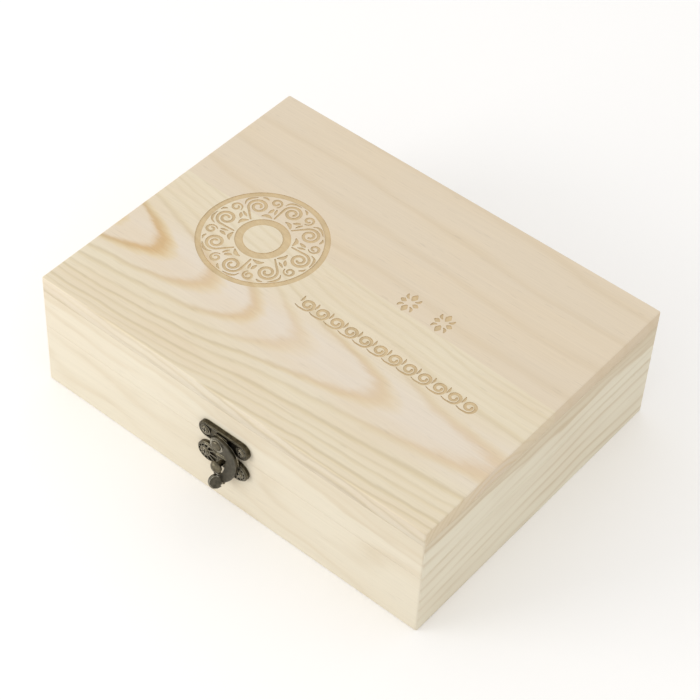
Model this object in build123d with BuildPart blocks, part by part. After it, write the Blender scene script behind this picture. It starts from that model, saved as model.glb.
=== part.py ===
"""Wooden coin display case with a swing-hook clasp, two foam trays and clear coin capsules.

The case stands on z = 0, with the origin at the middle of its underside. X runs along the
front from left to right, Y from the front to the back, and Z up. Millimetres throughout.
"""
from build123d import *
import os
from math import copysign, cos, radians, sin, sqrt

# ---- Driving dimensions ---------------------------------------------------------------------
WIDTH = 240.0
DEPTH = 185.0
HEIGHT = 72.5
SEAM_Z = 39.5  # where the lid parts from the base
SEAM_GAP = 0.1
WALL = 8.0
TOP_PANEL = 9.0
BOTTOM_PANEL = 4.0
REBATE = 4.0  # how far the bottom panel runs into the walls
CORNER_R = 1.2  # upright corners of the box
EDGE_R = 0.8  # outer edges of the underside and of the top
JOINT_EASE = 0.15  # softened arris where two boards meet
COVER_ROUND = 0.4  # upper edge of a capsule's cover
PAD_ROUND = 1.6  # lower edge of the lid's pad

# ---- Foam trays and coin capsules -----------------------------------------------------------
FOAM_GAP = 0.5  # between the foam and the walls
TRAY_T = 15.0
TRAY_SPACING = 0.5  # room under the upper tray for the lifting ribbons
TRAY_CORNER_R = 3.0
WELL_PITCH = 55.0
WELL_COLUMNS = 4
WELL_ROWS = 3
WELL_R = 26.0
WELL_DEEP = 6.8
NOTCH_R = 7.0  # thumb notch on one side of each well
NOTCH_REACH = 29.3  # how far the notch runs from the middle of the well
LID_PAD_T = 18.0

CAPSULE_R = 25.5
CAPSULE_SKIN = 1.2
CUP_HIGH = 5.0
COVER_T = 1.4
SKIRT_DEEP = 1.6
CAPSULE_FIT = 0.1  # between the cover's skirt and the cup's wall
GASKET_BORE_R = 15.0
GASKET_HIGH = 3.4

RIBBON_WIDE = 12.0
RIBBON_T = 0.35
RIBBON_TAB = 15.0  # free end that lies on the tray

# ---- Clasp ----------------------------------------------------------------------------------
# Heights are above the ground, and "proud" is how far a face stands out of the front wall.
CLASP_X = 1.3  # the clasp sits just right of the middle
CLASP_WIDE = 31.2
PLATE_HIGH = 9.9
PLATE_Z = 46.15
PLATE_T = 2.6
PLATE_ROUND = 0.7
RIM_WIDE = 1.1  # raised rim around the sunk field of a plate
FIELD_DEEP = 0.6
SADDLE_X = 0.75  # raised pad that carries the hook's eye
SADDLE_Z = 45.6
SADDLE_WIDE = 7.5
SADDLE_HIGH = 7.6
SADDLE_CORNER = 1.2
PIVOT_X = 0.0
PIVOT_Z = 44.5
HOOK_BACK = 3.4  # proud of the back of the hook
HOOK_T = 2.0
RIVET_R = 1.6
RIVET_HEAD_R = 2.8
RIVET_HEAD_T = 1.2
RIVET_ROUND = 0.9
PIVOT_FIT = 0.07

CATCH_X = 0.5
CATCH_Z = 30.4
LOBE_X = 8.8
LOBE_RX = 7.0
LOBE_RZ = 5.9
BRIDGE_HIGH = 7.4
RIDGES = 11  # cast ridges around each screw of the catch plate
RIDGE_WIDE = 0.7
STUD_X = 0.7
STUD_Z = 30.4
STUD_R = 1.5
STUD_HEAD_R = 3.3
STUD_NECK = 5.8  # proud of the underside of the head
STUD_RIM = 0.6
STUD_TOP = 8.9

CLASP_SCREW_X = 11.3
CATCH_SCREW_X = 10.6
SCREW_HEAD_R = 2.4
SCREW_HEAD_T = 1.3
SCREW_BOSS_R = 3.1  # full-height ring around a screw's seat
SCREW_SHANK_R = 1.2
SCREW_IN_WOOD = 6.0
SCREW_SINK = 0.8  # how deep the head sits in its plate
HOLE_FIT = 0.06
HEAD_ROUND = 0.6  # the rounding, as a share of the head's thickness
SLOT_LONG = 1.3  # the cross, as shares of the head's radius
SLOT_WIDE = 0.3
SLOT_DEEP = 0.5  # and of its thickness

# ---- Hinges ---------------------------------------------------------------------------------
HINGE_X = 72.0
HINGE_WIDE = 30.0
LEAF_HIGH = 12.0
LEAF_T = 1.2
LEAF_CLEAR = 2.5  # a leaf's plate stops this far short of the axis
BARREL_R = 2.1
BARREL_OUT = 2.5  # from the back wall to the pin's axis
KNUCKLES = 5
KNUCKLE_GAP = 0.3
PIN_R = 1.0
PIN_FIT = 0.08
PIN_HEAD_R = 1.7
PIN_HEAD_T = 0.8
PIN_ROUND = 0.5
HINGE_SCREW_X = 9.0
HINGE_SCREW_Z = 7.6  # from the seam
HINGE_SCREW_R = 1.7
HINGE_SCREW_T = 0.6
HINGE_SHANK_R = 0.9
HINGE_SHANK_LONG = 6.0

# ---- Worked out from the above --------------------------------------------------------------
INNER_W = WIDTH - 2 * WALL
INNER_D = DEPTH - 2 * WALL
LID_LOW = SEAM_Z + SEAM_GAP / 2
BASE_HIGH = SEAM_Z - SEAM_GAP / 2
PANEL_LOW = HEIGHT - TOP_PANEL
LOWER_TRAY_Z = BOTTOM_PANEL
UPPER_TRAY_Z = BOTTOM_PANEL + TRAY_T + TRAY_SPACING
FOAM_W = INNER_W - 2 * FOAM_GAP
FOAM_D = INNER_D - 2 * FOAM_GAP
HINGE_Y = DEPTH / 2 + BARREL_OUT

FRONT = Plane.XZ.offset(DEPTH / 2)  # local x is X, local y is Z, and out is away from the wall
BACK = Plane(origin=(0, DEPTH / 2, 0), x_dir=(-1, 0, 0), z_dir=(0, 1, 0))
SIDES = {"front": 0, "right": 90, "back": 180, "left": 270}

CLASP_SCREWS = [(CLASP_X + side * CLASP_SCREW_X, PLATE_Z) for side in (-1, 1)]
CATCH_SCREWS = [(CATCH_X + side * CATCH_SCREW_X, CATCH_Z) for side in (-1, 1)]
LOBES = [(CATCH_X + side * LOBE_X, CATCH_Z) for side in (-1, 1)]
HINGE_SCREW_COLUMNS = [h + s for h in (-HINGE_X, HINGE_X) for s in (-HINGE_SCREW_X, HINGE_SCREW_X)]
WELLS = [
    (WELL_PITCH * (column - (WELL_COLUMNS - 1) / 2), WELL_PITCH * (row - (WELL_ROWS - 1) / 2))
    for column in range(WELL_COLUMNS)
    for row in range(WELL_ROWS)
]

os.makedirs("parts", exist_ok=True)


def keep(builder, label):
    """Name a finished sub-part and write its STEP file."""
    builder.part.label = label
    export_step(builder.part, f"parts/{label}.step")


# ---- Box ------------------------------------------------------------------------------------
def wall_screws(side, in_lid):
    """The plane, places, radius and depth of the pilot holes in one wall."""
    if side == "front":
        places = CLASP_SCREWS if in_lid else CATCH_SCREWS
        return FRONT, places, SCREW_SHANK_R + HOLE_FIT, SCREW_IN_WOOD + HOLE_FIT
    if side == "back":
        z = SEAM_Z + (HINGE_SCREW_Z if in_lid else -HINGE_SCREW_Z)
        places = [(x, z) for x in HINGE_SCREW_COLUMNS]
        return BACK, places, HINGE_SHANK_R + HOLE_FIT, HINGE_SHANK_LONG + HOLE_FIT
    return None, [], 0, 0


def mitred_wall(side, low, high, in_lid):
    """One wall of the base or of the lid, cut from a whole frame along its two mitres."""
    turn = SIDES[side]
    half, reach = (WIDTH / 2, DEPTH / 2) if turn % 180 == 0 else (DEPTH / 2, WIDTH / 2)
    past = WALL / 4
    deep = 2 * WALL
    with BuildPart() as wall:
        with BuildSketch(Plane.XY.offset(low)):
            RectangleRounded(WIDTH, DEPTH, CORNER_R)
        extrude(amount=high - low)
        seam_edges = wall.edges().group_by(Axis.Z)[0 if in_lid else -1]
        far_edges = wall.edges().group_by(Axis.Z)[-1 if in_lid else 0]
        chamfer(seam_edges, JOINT_EASE)
        if in_lid:
            chamfer(far_edges, JOINT_EASE)
        else:
            fillet(far_edges, EDGE_R)
        with BuildSketch(Plane.XY.offset(low)):
            Rectangle(INNER_W, INNER_D)
        extrude(amount=high - low, mode=Mode.SUBTRACT)
        with BuildSketch(Plane.XY.offset(low).rotated((0, 0, turn))):
            with BuildLine():
                Polyline(
                    (-half - past, -reach - past),
                    (half + past, -reach - past),
                    (half - deep, -reach + deep),
                    (-half + deep, -reach + deep),
                    close=True,
                )
            make_face()
        extrude(amount=high - low, mode=Mode.INTERSECT)
        if not in_lid:
            with BuildSketch(Plane.XY):
                Rectangle(INNER_W + 2 * REBATE, INNER_D + 2 * REBATE)
            extrude(amount=BOTTOM_PANEL, mode=Mode.SUBTRACT)
        plane, places, radius, hole_deep = wall_screws(side, in_lid)
        if places:
            with BuildSketch(plane):
                with Locations(*places):
                    Circle(radius)
            extrude(amount=-hole_deep, mode=Mode.SUBTRACT)
    return wall


for side in SIDES:
    keep(mitred_wall(side, 0, BASE_HIGH, in_lid=False), f"base_{side}_wall")
    keep(mitred_wall(side, LID_LOW, PANEL_LOW, in_lid=True), f"lid_{side}_wall")

with BuildPart() as bottom_panel:
    with BuildSketch(Plane.XY):
        Rectangle(INNER_W + 2 * REBATE, INNER_D + 2 * REBATE)
    extrude(amount=BOTTOM_PANEL)
keep(bottom_panel, "base_bottom_panel")

with BuildPart() as top_panel:
    with BuildSketch(Plane.XY.offset(PANEL_LOW)):
        RectangleRounded(WIDTH, DEPTH, CORNER_R)
    extrude(amount=TOP_PANEL)
    fillet(top_panel.edges().group_by(Axis.Z)[-1], EDGE_R)
    chamfer(top_panel.edges().group_by(Axis.Z)[0], JOINT_EASE)
keep(top_panel, "lid_top_panel")


# ---- Inside ---------------------------------------------------------------------------------
def notch_places():
    """Middle of each well's thumb notch, on the slant towards the middle of the tray."""
    step = (NOTCH_REACH - NOTCH_R) / sqrt(2)
    return [(x - copysign(step, x), y - copysign(step, y)) for x, y in WELLS]


def foam_tray(low):
    """A foam sheet with round wells, each with a thumb notch."""
    with BuildPart() as tray:
        with BuildSketch(Plane.XY.offset(low)):
            RectangleRounded(FOAM_W, FOAM_D, TRAY_CORNER_R)
        extrude(amount=TRAY_T)
        with BuildSketch(Plane.XY.offset(low + TRAY_T)):
            with Locations(*WELLS):
                Circle(WELL_R)
            with Locations(*notch_places()):
                Circle(NOTCH_R)
        extrude(amount=-WELL_DEEP, mode=Mode.SUBTRACT)
    return tray


def capsule_cups(floor):
    """The lower halves of the capsules of one tray."""
    with BuildPart() as cups:
        with BuildSketch(Plane.XY.offset(floor)):
            with Locations(*WELLS):
                Circle(CAPSULE_R)
        extrude(amount=CUP_HIGH)
        with BuildSketch(Plane.XY.offset(floor + CAPSULE_SKIN)):
            with Locations(*WELLS):
                Circle(CAPSULE_R - CAPSULE_SKIN)
        extrude(amount=CUP_HIGH - CAPSULE_SKIN, mode=Mode.SUBTRACT)
    return cups


def capsule_covers(floor):
    """The covers, each a disc whose skirt drops inside its cup."""
    seat = floor + CUP_HIGH
    skirt_r = CAPSULE_R - CAPSULE_SKIN - CAPSULE_FIT
    with BuildPart() as covers:
        with BuildSketch(Plane.XY.offset(seat)):
            with Locations(*WELLS):
                Circle(CAPSULE_R)
        extrude(amount=COVER_T)
        with BuildSketch(Plane.XY.offset(seat)):
            with Locations(*WELLS):
                Circle(skirt_r)
        extrude(amount=-SKIRT_DEEP)
        with BuildSketch(Plane.XY.offset(seat)):
            with Locations(*WELLS):
                Circle(skirt_r - CAPSULE_SKIN)
        extrude(amount=-SKIRT_DEEP, mode=Mode.SUBTRACT)
        fillet(covers.edges().group_by(Axis.Z)[-1], COVER_ROUND)
    return covers


def gasket_rings(floor):
    """Foam rings that fill a capsule around a coin."""
    ring_r = CAPSULE_R - 2 * CAPSULE_SKIN - 2 * CAPSULE_FIT
    with BuildPart() as rings:
        with BuildSketch(Plane.XY.offset(floor + CAPSULE_SKIN)):
            with Locations(*WELLS):
                Circle(ring_r)
                Circle(GASKET_BORE_R, mode=Mode.SUBTRACT)
        extrude(amount=GASKET_HIGH)
    return rings


def lifting_ribbon(middle_y):
    """A ribbon under the upper tray, up both its ends and over onto its top."""
    half = FOAM_W / 2
    under = UPPER_TRAY_Z - RIBBON_T
    over = UPPER_TRAY_Z + TRAY_T
    side_x = half + RIBBON_T / 2
    side_z = (under + over + RIBBON_T) / 2
    with BuildPart() as ribbon:
        with BuildSketch(Plane.XZ.offset(-middle_y)):
            with Locations((0, under + RIBBON_T / 2)):
                Rectangle(FOAM_W + 2 * RIBBON_T, RIBBON_T)
            with Locations((-side_x, side_z), (side_x, side_z)):
                Rectangle(RIBBON_T, over + RIBBON_T - under)
            tab_x = half + RIBBON_T - RIBBON_TAB / 2
            with Locations((-tab_x, over + RIBBON_T / 2), (tab_x, over + RIBBON_T / 2)):
                Rectangle(RIBBON_TAB, RIBBON_T)
        extrude(amount=RIBBON_WIDE / 2, both=True)
    return ribbon


for level, tray_low in (("lower", LOWER_TRAY_Z), ("upper", UPPER_TRAY_Z)):
    well_floor = tray_low + TRAY_T - WELL_DEEP
    keep(foam_tray(tray_low), f"foam_tray_{level}")
    keep(capsule_cups(well_floor), f"capsule_cups_{level}")
    keep(capsule_covers(well_floor), f"capsule_covers_{level}")
    keep(gasket_rings(well_floor), f"gasket_rings_{level}")

for place, row_gap in (("front", -WELL_PITCH / 2), ("back", WELL_PITCH / 2)):
    keep(lifting_ribbon(row_gap), f"tray_ribbon_{place}")

with BuildPart() as lid_pad:
    with BuildSketch(Plane.XY.offset(PANEL_LOW - LID_PAD_T)):
        RectangleRounded(FOAM_W, FOAM_D, TRAY_CORNER_R)
    extrude(amount=LID_PAD_T)
    fillet(lid_pad.edges().group_by(Axis.Z)[0], PAD_ROUND)
keep(lid_pad, "lid_foam_pad")


# ---- Fasteners ------------------------------------------------------------------------------
def pan_screws(plane, places, seat, head_r, head_t, shank_r, in_wood):
    """Cross-head screws whose heads sit seat millimetres out of the plane."""
    slot_long, slot_wide, slot_deep = SLOT_LONG * head_r, SLOT_WIDE * head_r, SLOT_DEEP * head_t
    with BuildPart() as screws:
        with BuildSketch(plane.offset(seat)):
            with Locations(*places):
                Circle(head_r)
        extrude(amount=head_t)
        rims = screws.faces().sort_by(SortBy.AREA)[-2 * len(places):].edges()
        out = plane.z_dir
        rims = rims.filter_by(lambda edge: (edge.center() - plane.origin).dot(out) > seat + head_t / 2)
        fillet(rims, HEAD_ROUND * head_t)
        with BuildSketch(plane.offset(seat)):
            with Locations(*places):
                Circle(shank_r)
        extrude(amount=-(seat + in_wood))
        with BuildSketch(plane.offset(seat + head_t)):
            with Locations(*places):
                Rectangle(slot_long, slot_wide)
                Rectangle(slot_wide, slot_long)
        extrude(amount=-slot_deep, mode=Mode.SUBTRACT)
    return screws


clasp_seat = PLATE_T - SCREW_SINK
for label, places in (("clasp_plate_screws", CLASP_SCREWS), ("catch_plate_screws", CATCH_SCREWS)):
    keep(
        pan_screws(FRONT, places, clasp_seat, SCREW_HEAD_R, SCREW_HEAD_T, SCREW_SHANK_R, SCREW_IN_WOOD),
        label,
    )


def hinge_screws(z):
    """The screws of both hinges on one side of the seam."""
    places = [(x, z) for x in HINGE_SCREW_COLUMNS]
    return pan_screws(BACK, places, LEAF_T, HINGE_SCREW_R, HINGE_SCREW_T, HINGE_SHANK_R, HINGE_SHANK_LONG)


keep(hinge_screws(SEAM_Z - HINGE_SCREW_Z), "hinge_base_screws")
keep(hinge_screws(SEAM_Z + HINGE_SCREW_Z), "hinge_lid_screws")


# ---- Clasp ----------------------------------------------------------------------------------
def screw_seats(places):
    """What the holes and round seats for the screws take out of a clasp plate."""
    with BuildPart() as seats:
        with BuildSketch(FRONT):
            with Locations(*places):
                Circle(SCREW_SHANK_R + HOLE_FIT)
        extrude(amount=PLATE_T)
        with BuildSketch(FRONT.offset(clasp_seat)):
            with Locations(*places):
                Circle(SCREW_HEAD_R + HOLE_FIT)
        extrude(amount=PLATE_T)
    return seats.part


plate_seats = screw_seats(CLASP_SCREWS)
catch_seats = screw_seats(CATCH_SCREWS)

with BuildPart() as clasp_plate:
    with BuildSketch(FRONT):
        with Locations((CLASP_X, PLATE_Z)):
            SlotOverall(CLASP_WIDE, PLATE_HIGH)
    extrude(amount=PLATE_T)
    fillet(clasp_plate.edges().group_by(Axis.Y)[0], PLATE_ROUND)
    with BuildSketch(FRONT.offset(PLATE_T)):
        with Locations((CLASP_X, PLATE_Z)):
            SlotOverall(CLASP_WIDE - 2 * RIM_WIDE, PLATE_HIGH - 2 * RIM_WIDE)
        with Locations(*CLASP_SCREWS):
            Circle(SCREW_BOSS_R, mode=Mode.SUBTRACT)
    extrude(amount=-FIELD_DEEP, mode=Mode.SUBTRACT)
    add(plate_seats, mode=Mode.SUBTRACT)
    with BuildSketch(FRONT.offset(PLATE_T - FIELD_DEEP)):
        with Locations((SADDLE_X, SADDLE_Z)):
            RectangleRounded(SADDLE_WIDE, SADDLE_HIGH, SADDLE_CORNER)
    extrude(amount=HOOK_BACK - PIVOT_FIT - PLATE_T + FIELD_DEEP)
    with BuildSketch(FRONT):
        with Locations((PIVOT_X, PIVOT_Z)):
            Circle(RIVET_R)
    extrude(amount=HOOK_BACK, mode=Mode.SUBTRACT)
keep(clasp_plate, "clasp_plate")

hook_front = HOOK_BACK + HOOK_T
with BuildPart() as clasp_rivet:
    with BuildSketch(FRONT):
        with Locations((PIVOT_X, PIVOT_Z)):
            Circle(RIVET_R)
    extrude(amount=hook_front + PIVOT_FIT)
    with BuildSketch(FRONT.offset(hook_front + PIVOT_FIT)):
        with Locations((PIVOT_X, PIVOT_Z)):
            Circle(RIVET_HEAD_R)
    extrude(amount=RIVET_HEAD_T)
    fillet(clasp_rivet.edges().group_by(Axis.Y)[0], RIVET_ROUND)
keep(clasp_rivet, "clasp_rivet")

# The hook is a horn: a broad eye on the rivet, an arm that bows out to the right of the stud,
# and a short prong that runs back under it. A round finger tab flicks outwards from the prong.
EYE_R = 4.6
EYE_LOW = 4.65  # from the pivot down to the eye's flat underside
EYE_CORNER = 1.5
EYE_SWEEP = 100.0
EYE_RING_R = 3.7  # raised ring around the rivet's head
EYE_RING_WIDE = 0.6
EYE_RING_T = 0.4
SHOULDER = (5.2, 47.7)
ARM_BULGE = (12.1, 36.5)
ARM_END = (4.6, 20.4)
CROOK = (2.9, PIVOT_Z - EYE_LOW)
INSIDE_TOP = (5.4, 37.2)
INSIDE_MIDDLE = (4.4, 31.0)
INSIDE_LOW = (2.2, 24.9)
PRONG_TIP = (-1.0, 23.8)
PRONG_BACK = (-2.4, 22.9)
HOOK_ROUND = 0.5
TAB_ROOT = (2.9, 20.9)  # middle of the fold
TAB_WAY = 205.0  # heading of the tab as it leaves the prong
TAB_WIDE = 5.6
TAB_CORNER = 0.9
TAB_BEND_R = 2.0
TAB_BEND = 60.0
TAB_REACH = 1.6  # from the end of the bend to the middle of the disc
TAB_R = 3.9
TAB_EASE = 0.4

with BuildPart() as clasp_hook:
    with BuildSketch(FRONT.offset(HOOK_BACK)):
        with BuildLine():
            eye = CenterArc((PIVOT_X, PIVOT_Z), EYE_R, 180, -EYE_SWEEP)
            brow = TangentArc(eye @ 1, SHOULDER, tangent=eye % 1)
            bow = TangentArc(brow @ 1, ARM_BULGE, tangent=brow % 1)
            arm = TangentArc(bow @ 1, ARM_END, tangent=bow % 1)
            heel = TangentArc(arm @ 1, PRONG_BACK, tangent=arm % 1)
            inside = ThreePointArc(INSIDE_LOW, INSIDE_MIDDLE, INSIDE_TOP)
            throat = TangentArc(inside @ 0, PRONG_TIP, tangent=(inside % 0) * -1)
            TangentArc(heel @ 1, throat @ 1, tangent=heel % 1)
            crook = TangentArc(inside @ 1, CROOK, tangent=inside % 1)
            chin = Line(crook @ 1, (PIVOT_X - EYE_R + EYE_CORNER, PIVOT_Z - EYE_LOW))
            jaw_end = (PIVOT_X - EYE_R, PIVOT_Z - EYE_LOW + EYE_CORNER)
            jaw = TangentArc(chin @ 1, jaw_end, tangent=chin % 1)
            Line(jaw @ 1, eye @ 0)
        make_face()
    extrude(amount=HOOK_T)
    fillet(clasp_hook.edges().group_by(Axis.Y)[0], HOOK_ROUND)
    with BuildSketch(FRONT.offset(hook_front)):
        with Locations((PIVOT_X, PIVOT_Z)):
            Circle(EYE_RING_R)
            Circle(EYE_RING_R - EYE_RING_WIDE, mode=Mode.SUBTRACT)
    extrude(amount=EYE_RING_T)
    with BuildSketch(FRONT):
        with Locations((PIVOT_X, PIVOT_Z)):
            Circle(RIVET_R + PIVOT_FIT)
    extrude(amount=hook_front, mode=Mode.SUBTRACT)
    tab_way = Vector(cos(radians(TAB_WAY)), 0, sin(radians(TAB_WAY)))
    across = tab_way.cross(FRONT.z_dir)
    fold = FRONT.offset(HOOK_BACK + HOOK_T / 2).from_local_coords(Vector(*TAB_ROOT, 0))
    with BuildLine(Plane(origin=fold, x_dir=tab_way, z_dir=across)) as tab_path:
        bend = CenterArc((0, TAB_BEND_R), TAB_BEND_R, -90, TAB_BEND)
    with BuildSketch(Plane(origin=fold, x_dir=across, z_dir=tab_way)):
        RectangleRounded(TAB_WIDE, HOOK_T, TAB_CORNER)
    sweep(path=tab_path.line)
    disc_way = tab_path.line % 1
    disc_plane = Plane(origin=tab_path.line @ 1, x_dir=disc_way, z_dir=disc_way.cross(across))
    with BuildSketch(disc_plane):
        with Locations((TAB_REACH, 0)):
            Circle(TAB_R)
        Rectangle(2 * TAB_R, 2 * TAB_R, align=(Align.MIN, Align.CENTER), mode=Mode.INTERSECT)
    extrude(amount=HOOK_T / 2, both=True)
    disc_middle = disc_plane.from_local_coords(Vector(TAB_REACH, 0, 0))
    rims = clasp_hook.edges().filter_by(GeomType.CIRCLE)
    rims = rims.filter_by(lambda edge: abs(edge.radius - TAB_R) < TAB_EASE)
    chamfer(rims.filter_by(lambda edge: (edge.arc_center - disc_middle).length < HOOK_T), TAB_EASE)
keep(clasp_hook, "clasp_hook")

with BuildPart() as catch_plate:
    with BuildSketch(FRONT):
        with Locations(*LOBES):
            Ellipse(LOBE_RX, LOBE_RZ)
        with Locations((CATCH_X, CATCH_Z)):
            Rectangle(2 * LOBE_X, BRIDGE_HIGH)
    extrude(amount=PLATE_T)
    chamfer(catch_plate.edges().group_by(Axis.Y)[0], PLATE_ROUND)
    with BuildSketch(FRONT.offset(PLATE_T)):
        with Locations(*LOBES):
            Ellipse(LOBE_RX - RIM_WIDE, LOBE_RZ - RIM_WIDE)
        with Locations(*CATCH_SCREWS):
            Circle(SCREW_BOSS_R, mode=Mode.SUBTRACT)
            with PolarLocations(0, RIDGES):
                Rectangle(
                    4 * LOBE_RX, RIDGE_WIDE, align=(Align.MIN, Align.CENTER), mode=Mode.SUBTRACT
                )
    extrude(amount=-FIELD_DEEP, mode=Mode.SUBTRACT)
    add(catch_seats, mode=Mode.SUBTRACT)
    with BuildSketch(FRONT):
        with Locations((STUD_X, STUD_Z)):
            Circle(STUD_R)
    extrude(amount=PLATE_T, mode=Mode.SUBTRACT)
keep(catch_plate, "catch_plate")

stud_axis = FRONT.from_local_coords(Vector(STUD_X, STUD_Z, 0))
with BuildPart() as catch_stud:
    with BuildSketch(Plane(origin=stud_axis, x_dir=(1, 0, 0), z_dir=(0, 0, 1))):
        with BuildLine():
            Polyline(
                (0, -STUD_TOP),
                (0, 0),
                (STUD_R, 0),
                (STUD_R, -STUD_NECK),
                (STUD_HEAD_R - STUD_RIM / 2, -STUD_NECK),
                (STUD_HEAD_R, -STUD_NECK - STUD_RIM),
            )
            dome_low = -STUD_NECK - STUD_RIM
            dome_high = STUD_TOP + dome_low
            EllipticalCenterArc((0, dome_low), STUD_HEAD_R, dome_high, start_angle=270, arc_size=90)
        make_face()
    revolve(axis=Axis(stud_axis, (0, 1, 0)))
keep(catch_stud, "catch_stud")


# ---- Hinges ---------------------------------------------------------------------------------
def knuckle_spans(middle_x, lid_side):
    """Start and length of each knuckle that belongs to one leaf."""
    pitch = HINGE_WIDE / KNUCKLES
    start = middle_x - HINGE_WIDE / 2 + KNUCKLE_GAP / 2
    return [(start + i * pitch, pitch - KNUCKLE_GAP) for i in range(1 if lid_side else 0, KNUCKLES, 2)]


def hinge_leaf(middle_x, lid_side):
    """A leaf screwed flat on the back wall, with its knuckles around the pin."""
    up = 1 if lid_side else -1
    plate_high = LEAF_HIGH - LEAF_CLEAR
    screws = [(-middle_x + side * HINGE_SCREW_X, SEAM_Z + up * HINGE_SCREW_Z) for side in (-1, 1)]
    with BuildPart() as leaf:
        with BuildSketch(BACK):
            with Locations((-middle_x, SEAM_Z + up * (LEAF_CLEAR + plate_high / 2))):
                Rectangle(HINGE_WIDE, plate_high)
        extrude(amount=LEAF_T)
        for start, long in knuckle_spans(middle_x, lid_side):
            with BuildSketch(Plane.YZ.offset(start)):
                with Locations((HINGE_Y, SEAM_Z)):
                    Circle(BARREL_R)
                with Locations((DEPTH / 2 + LEAF_T / 2, SEAM_Z + up * LEAF_CLEAR / 2)):
                    Rectangle(LEAF_T, LEAF_CLEAR)
            extrude(amount=long)
        with BuildSketch(Plane.YZ.offset(middle_x - HINGE_WIDE)):
            with Locations((HINGE_Y, SEAM_Z)):
                Circle(PIN_R + PIN_FIT)
        extrude(amount=2 * HINGE_WIDE, mode=Mode.SUBTRACT)
        with BuildSketch(BACK):
            with Locations(*screws):
                Circle(HINGE_SHANK_R + HOLE_FIT)
        extrude(amount=LEAF_T, mode=Mode.SUBTRACT)
    return leaf


def hinge_pin(middle_x):
    """A pin with a round head at each end of the barrel."""
    with BuildPart() as pin:
        with BuildSketch(Plane.YZ.offset(middle_x)):
            with Locations((HINGE_Y, SEAM_Z)):
                Circle(PIN_R)
        extrude(amount=HINGE_WIDE / 2, both=True)
        for end in (-1, 1):
            with BuildSketch(Plane.YZ.offset(middle_x + end * HINGE_WIDE / 2)):
                with Locations((HINGE_Y, SEAM_Z)):
                    Circle(PIN_HEAD_R)
            extrude(amount=end * PIN_HEAD_T)
        heads = pin.edges().filter_by(GeomType.CIRCLE).sort_by(Axis.X)
        fillet([heads[0], heads[-1]], PIN_ROUND)
    return pin


for place, middle_x in (("left", -HINGE_X), ("right", HINGE_X)):
    keep(hinge_leaf(middle_x, lid_side=False), f"hinge_{place}_base_leaf")
    keep(hinge_leaf(middle_x, lid_side=True), f"hinge_{place}_lid_leaf")
    keep(hinge_pin(middle_x), f"hinge_{place}_pin")
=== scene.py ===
"""Looks of the wooden coin display case, built around its CAD frame.

The frame gives every place and size: X runs along the front, Y to the back and Z up, in metres.
Patterns are worked out in millimetres. The file is laid out as an add-on, and running it makes
the whole scene.
"""
import math

import bmesh
import bpy
import numpy as np
from bpy.props import FloatProperty, FloatVectorProperty, IntProperty, PointerProperty
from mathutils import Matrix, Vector


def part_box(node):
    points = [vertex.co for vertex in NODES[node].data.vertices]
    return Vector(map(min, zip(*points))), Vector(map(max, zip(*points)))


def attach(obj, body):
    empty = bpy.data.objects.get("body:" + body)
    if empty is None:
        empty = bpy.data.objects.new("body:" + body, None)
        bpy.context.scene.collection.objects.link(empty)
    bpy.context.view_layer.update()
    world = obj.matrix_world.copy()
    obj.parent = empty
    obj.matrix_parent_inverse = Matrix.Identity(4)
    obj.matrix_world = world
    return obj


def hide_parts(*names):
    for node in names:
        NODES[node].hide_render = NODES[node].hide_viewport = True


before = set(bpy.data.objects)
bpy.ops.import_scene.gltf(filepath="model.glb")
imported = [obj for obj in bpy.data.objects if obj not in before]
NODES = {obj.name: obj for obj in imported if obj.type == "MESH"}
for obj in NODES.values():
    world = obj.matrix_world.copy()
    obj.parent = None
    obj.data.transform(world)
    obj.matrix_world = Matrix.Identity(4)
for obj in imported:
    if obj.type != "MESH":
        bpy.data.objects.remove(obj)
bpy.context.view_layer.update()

bl_info = {
    "name": "Coin display case",
    "version": (1, 0, 0),
    "blender": (4, 5, 0),
    "location": "View3D > Sidebar > Case",
    "description": "Boards, engraving, clasp, hinges, foam trays and capsules of a coin display case",
    "category": "Object",
}

MM = 0.001
# Sizes are in millimetres from here on, unless a comment says otherwise.


def box_mm(node):
    """The low and the high corner of a CAD node's box, in millimetres."""
    return tuple([part / MM for part in corner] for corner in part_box(node))


LID_LOW, LID_HIGH = box_mm("lid_top_panel")
WIDTH = LID_HIGH[0] - LID_LOW[0]
DEPTH = LID_HIGH[1] - LID_LOW[1]
TRAY_LOW, TRAY_HIGH = box_mm("foam_tray_upper")
FOAM_W = TRAY_HIGH[0] - TRAY_LOW[0]
FOAM_D = TRAY_HIGH[1] - TRAY_LOW[1]

# Lid board: its upright corners, its rounded top edge and the chamfer under it.
BOARD_CORNER = 1.2
BOARD_ROUND = 0.8
BOARD_CHAMFER = 0.15

# Ornament: the two plain bands of the ring, and where the border and the flowers start.
RING_BANDS = {"Inner ring": (10.0, 14.2), "Outer ring": (31.0, 34.0)}
BAND_POINTS = 128
BORDER_START = (-10.9, -19.5, 0)
BORDER_PITCH = 9.0
FLOWER_START = (24.8, 14.4, 0)
FLOWER_PITCH = 20.8
FLOWERS = 2

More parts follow.
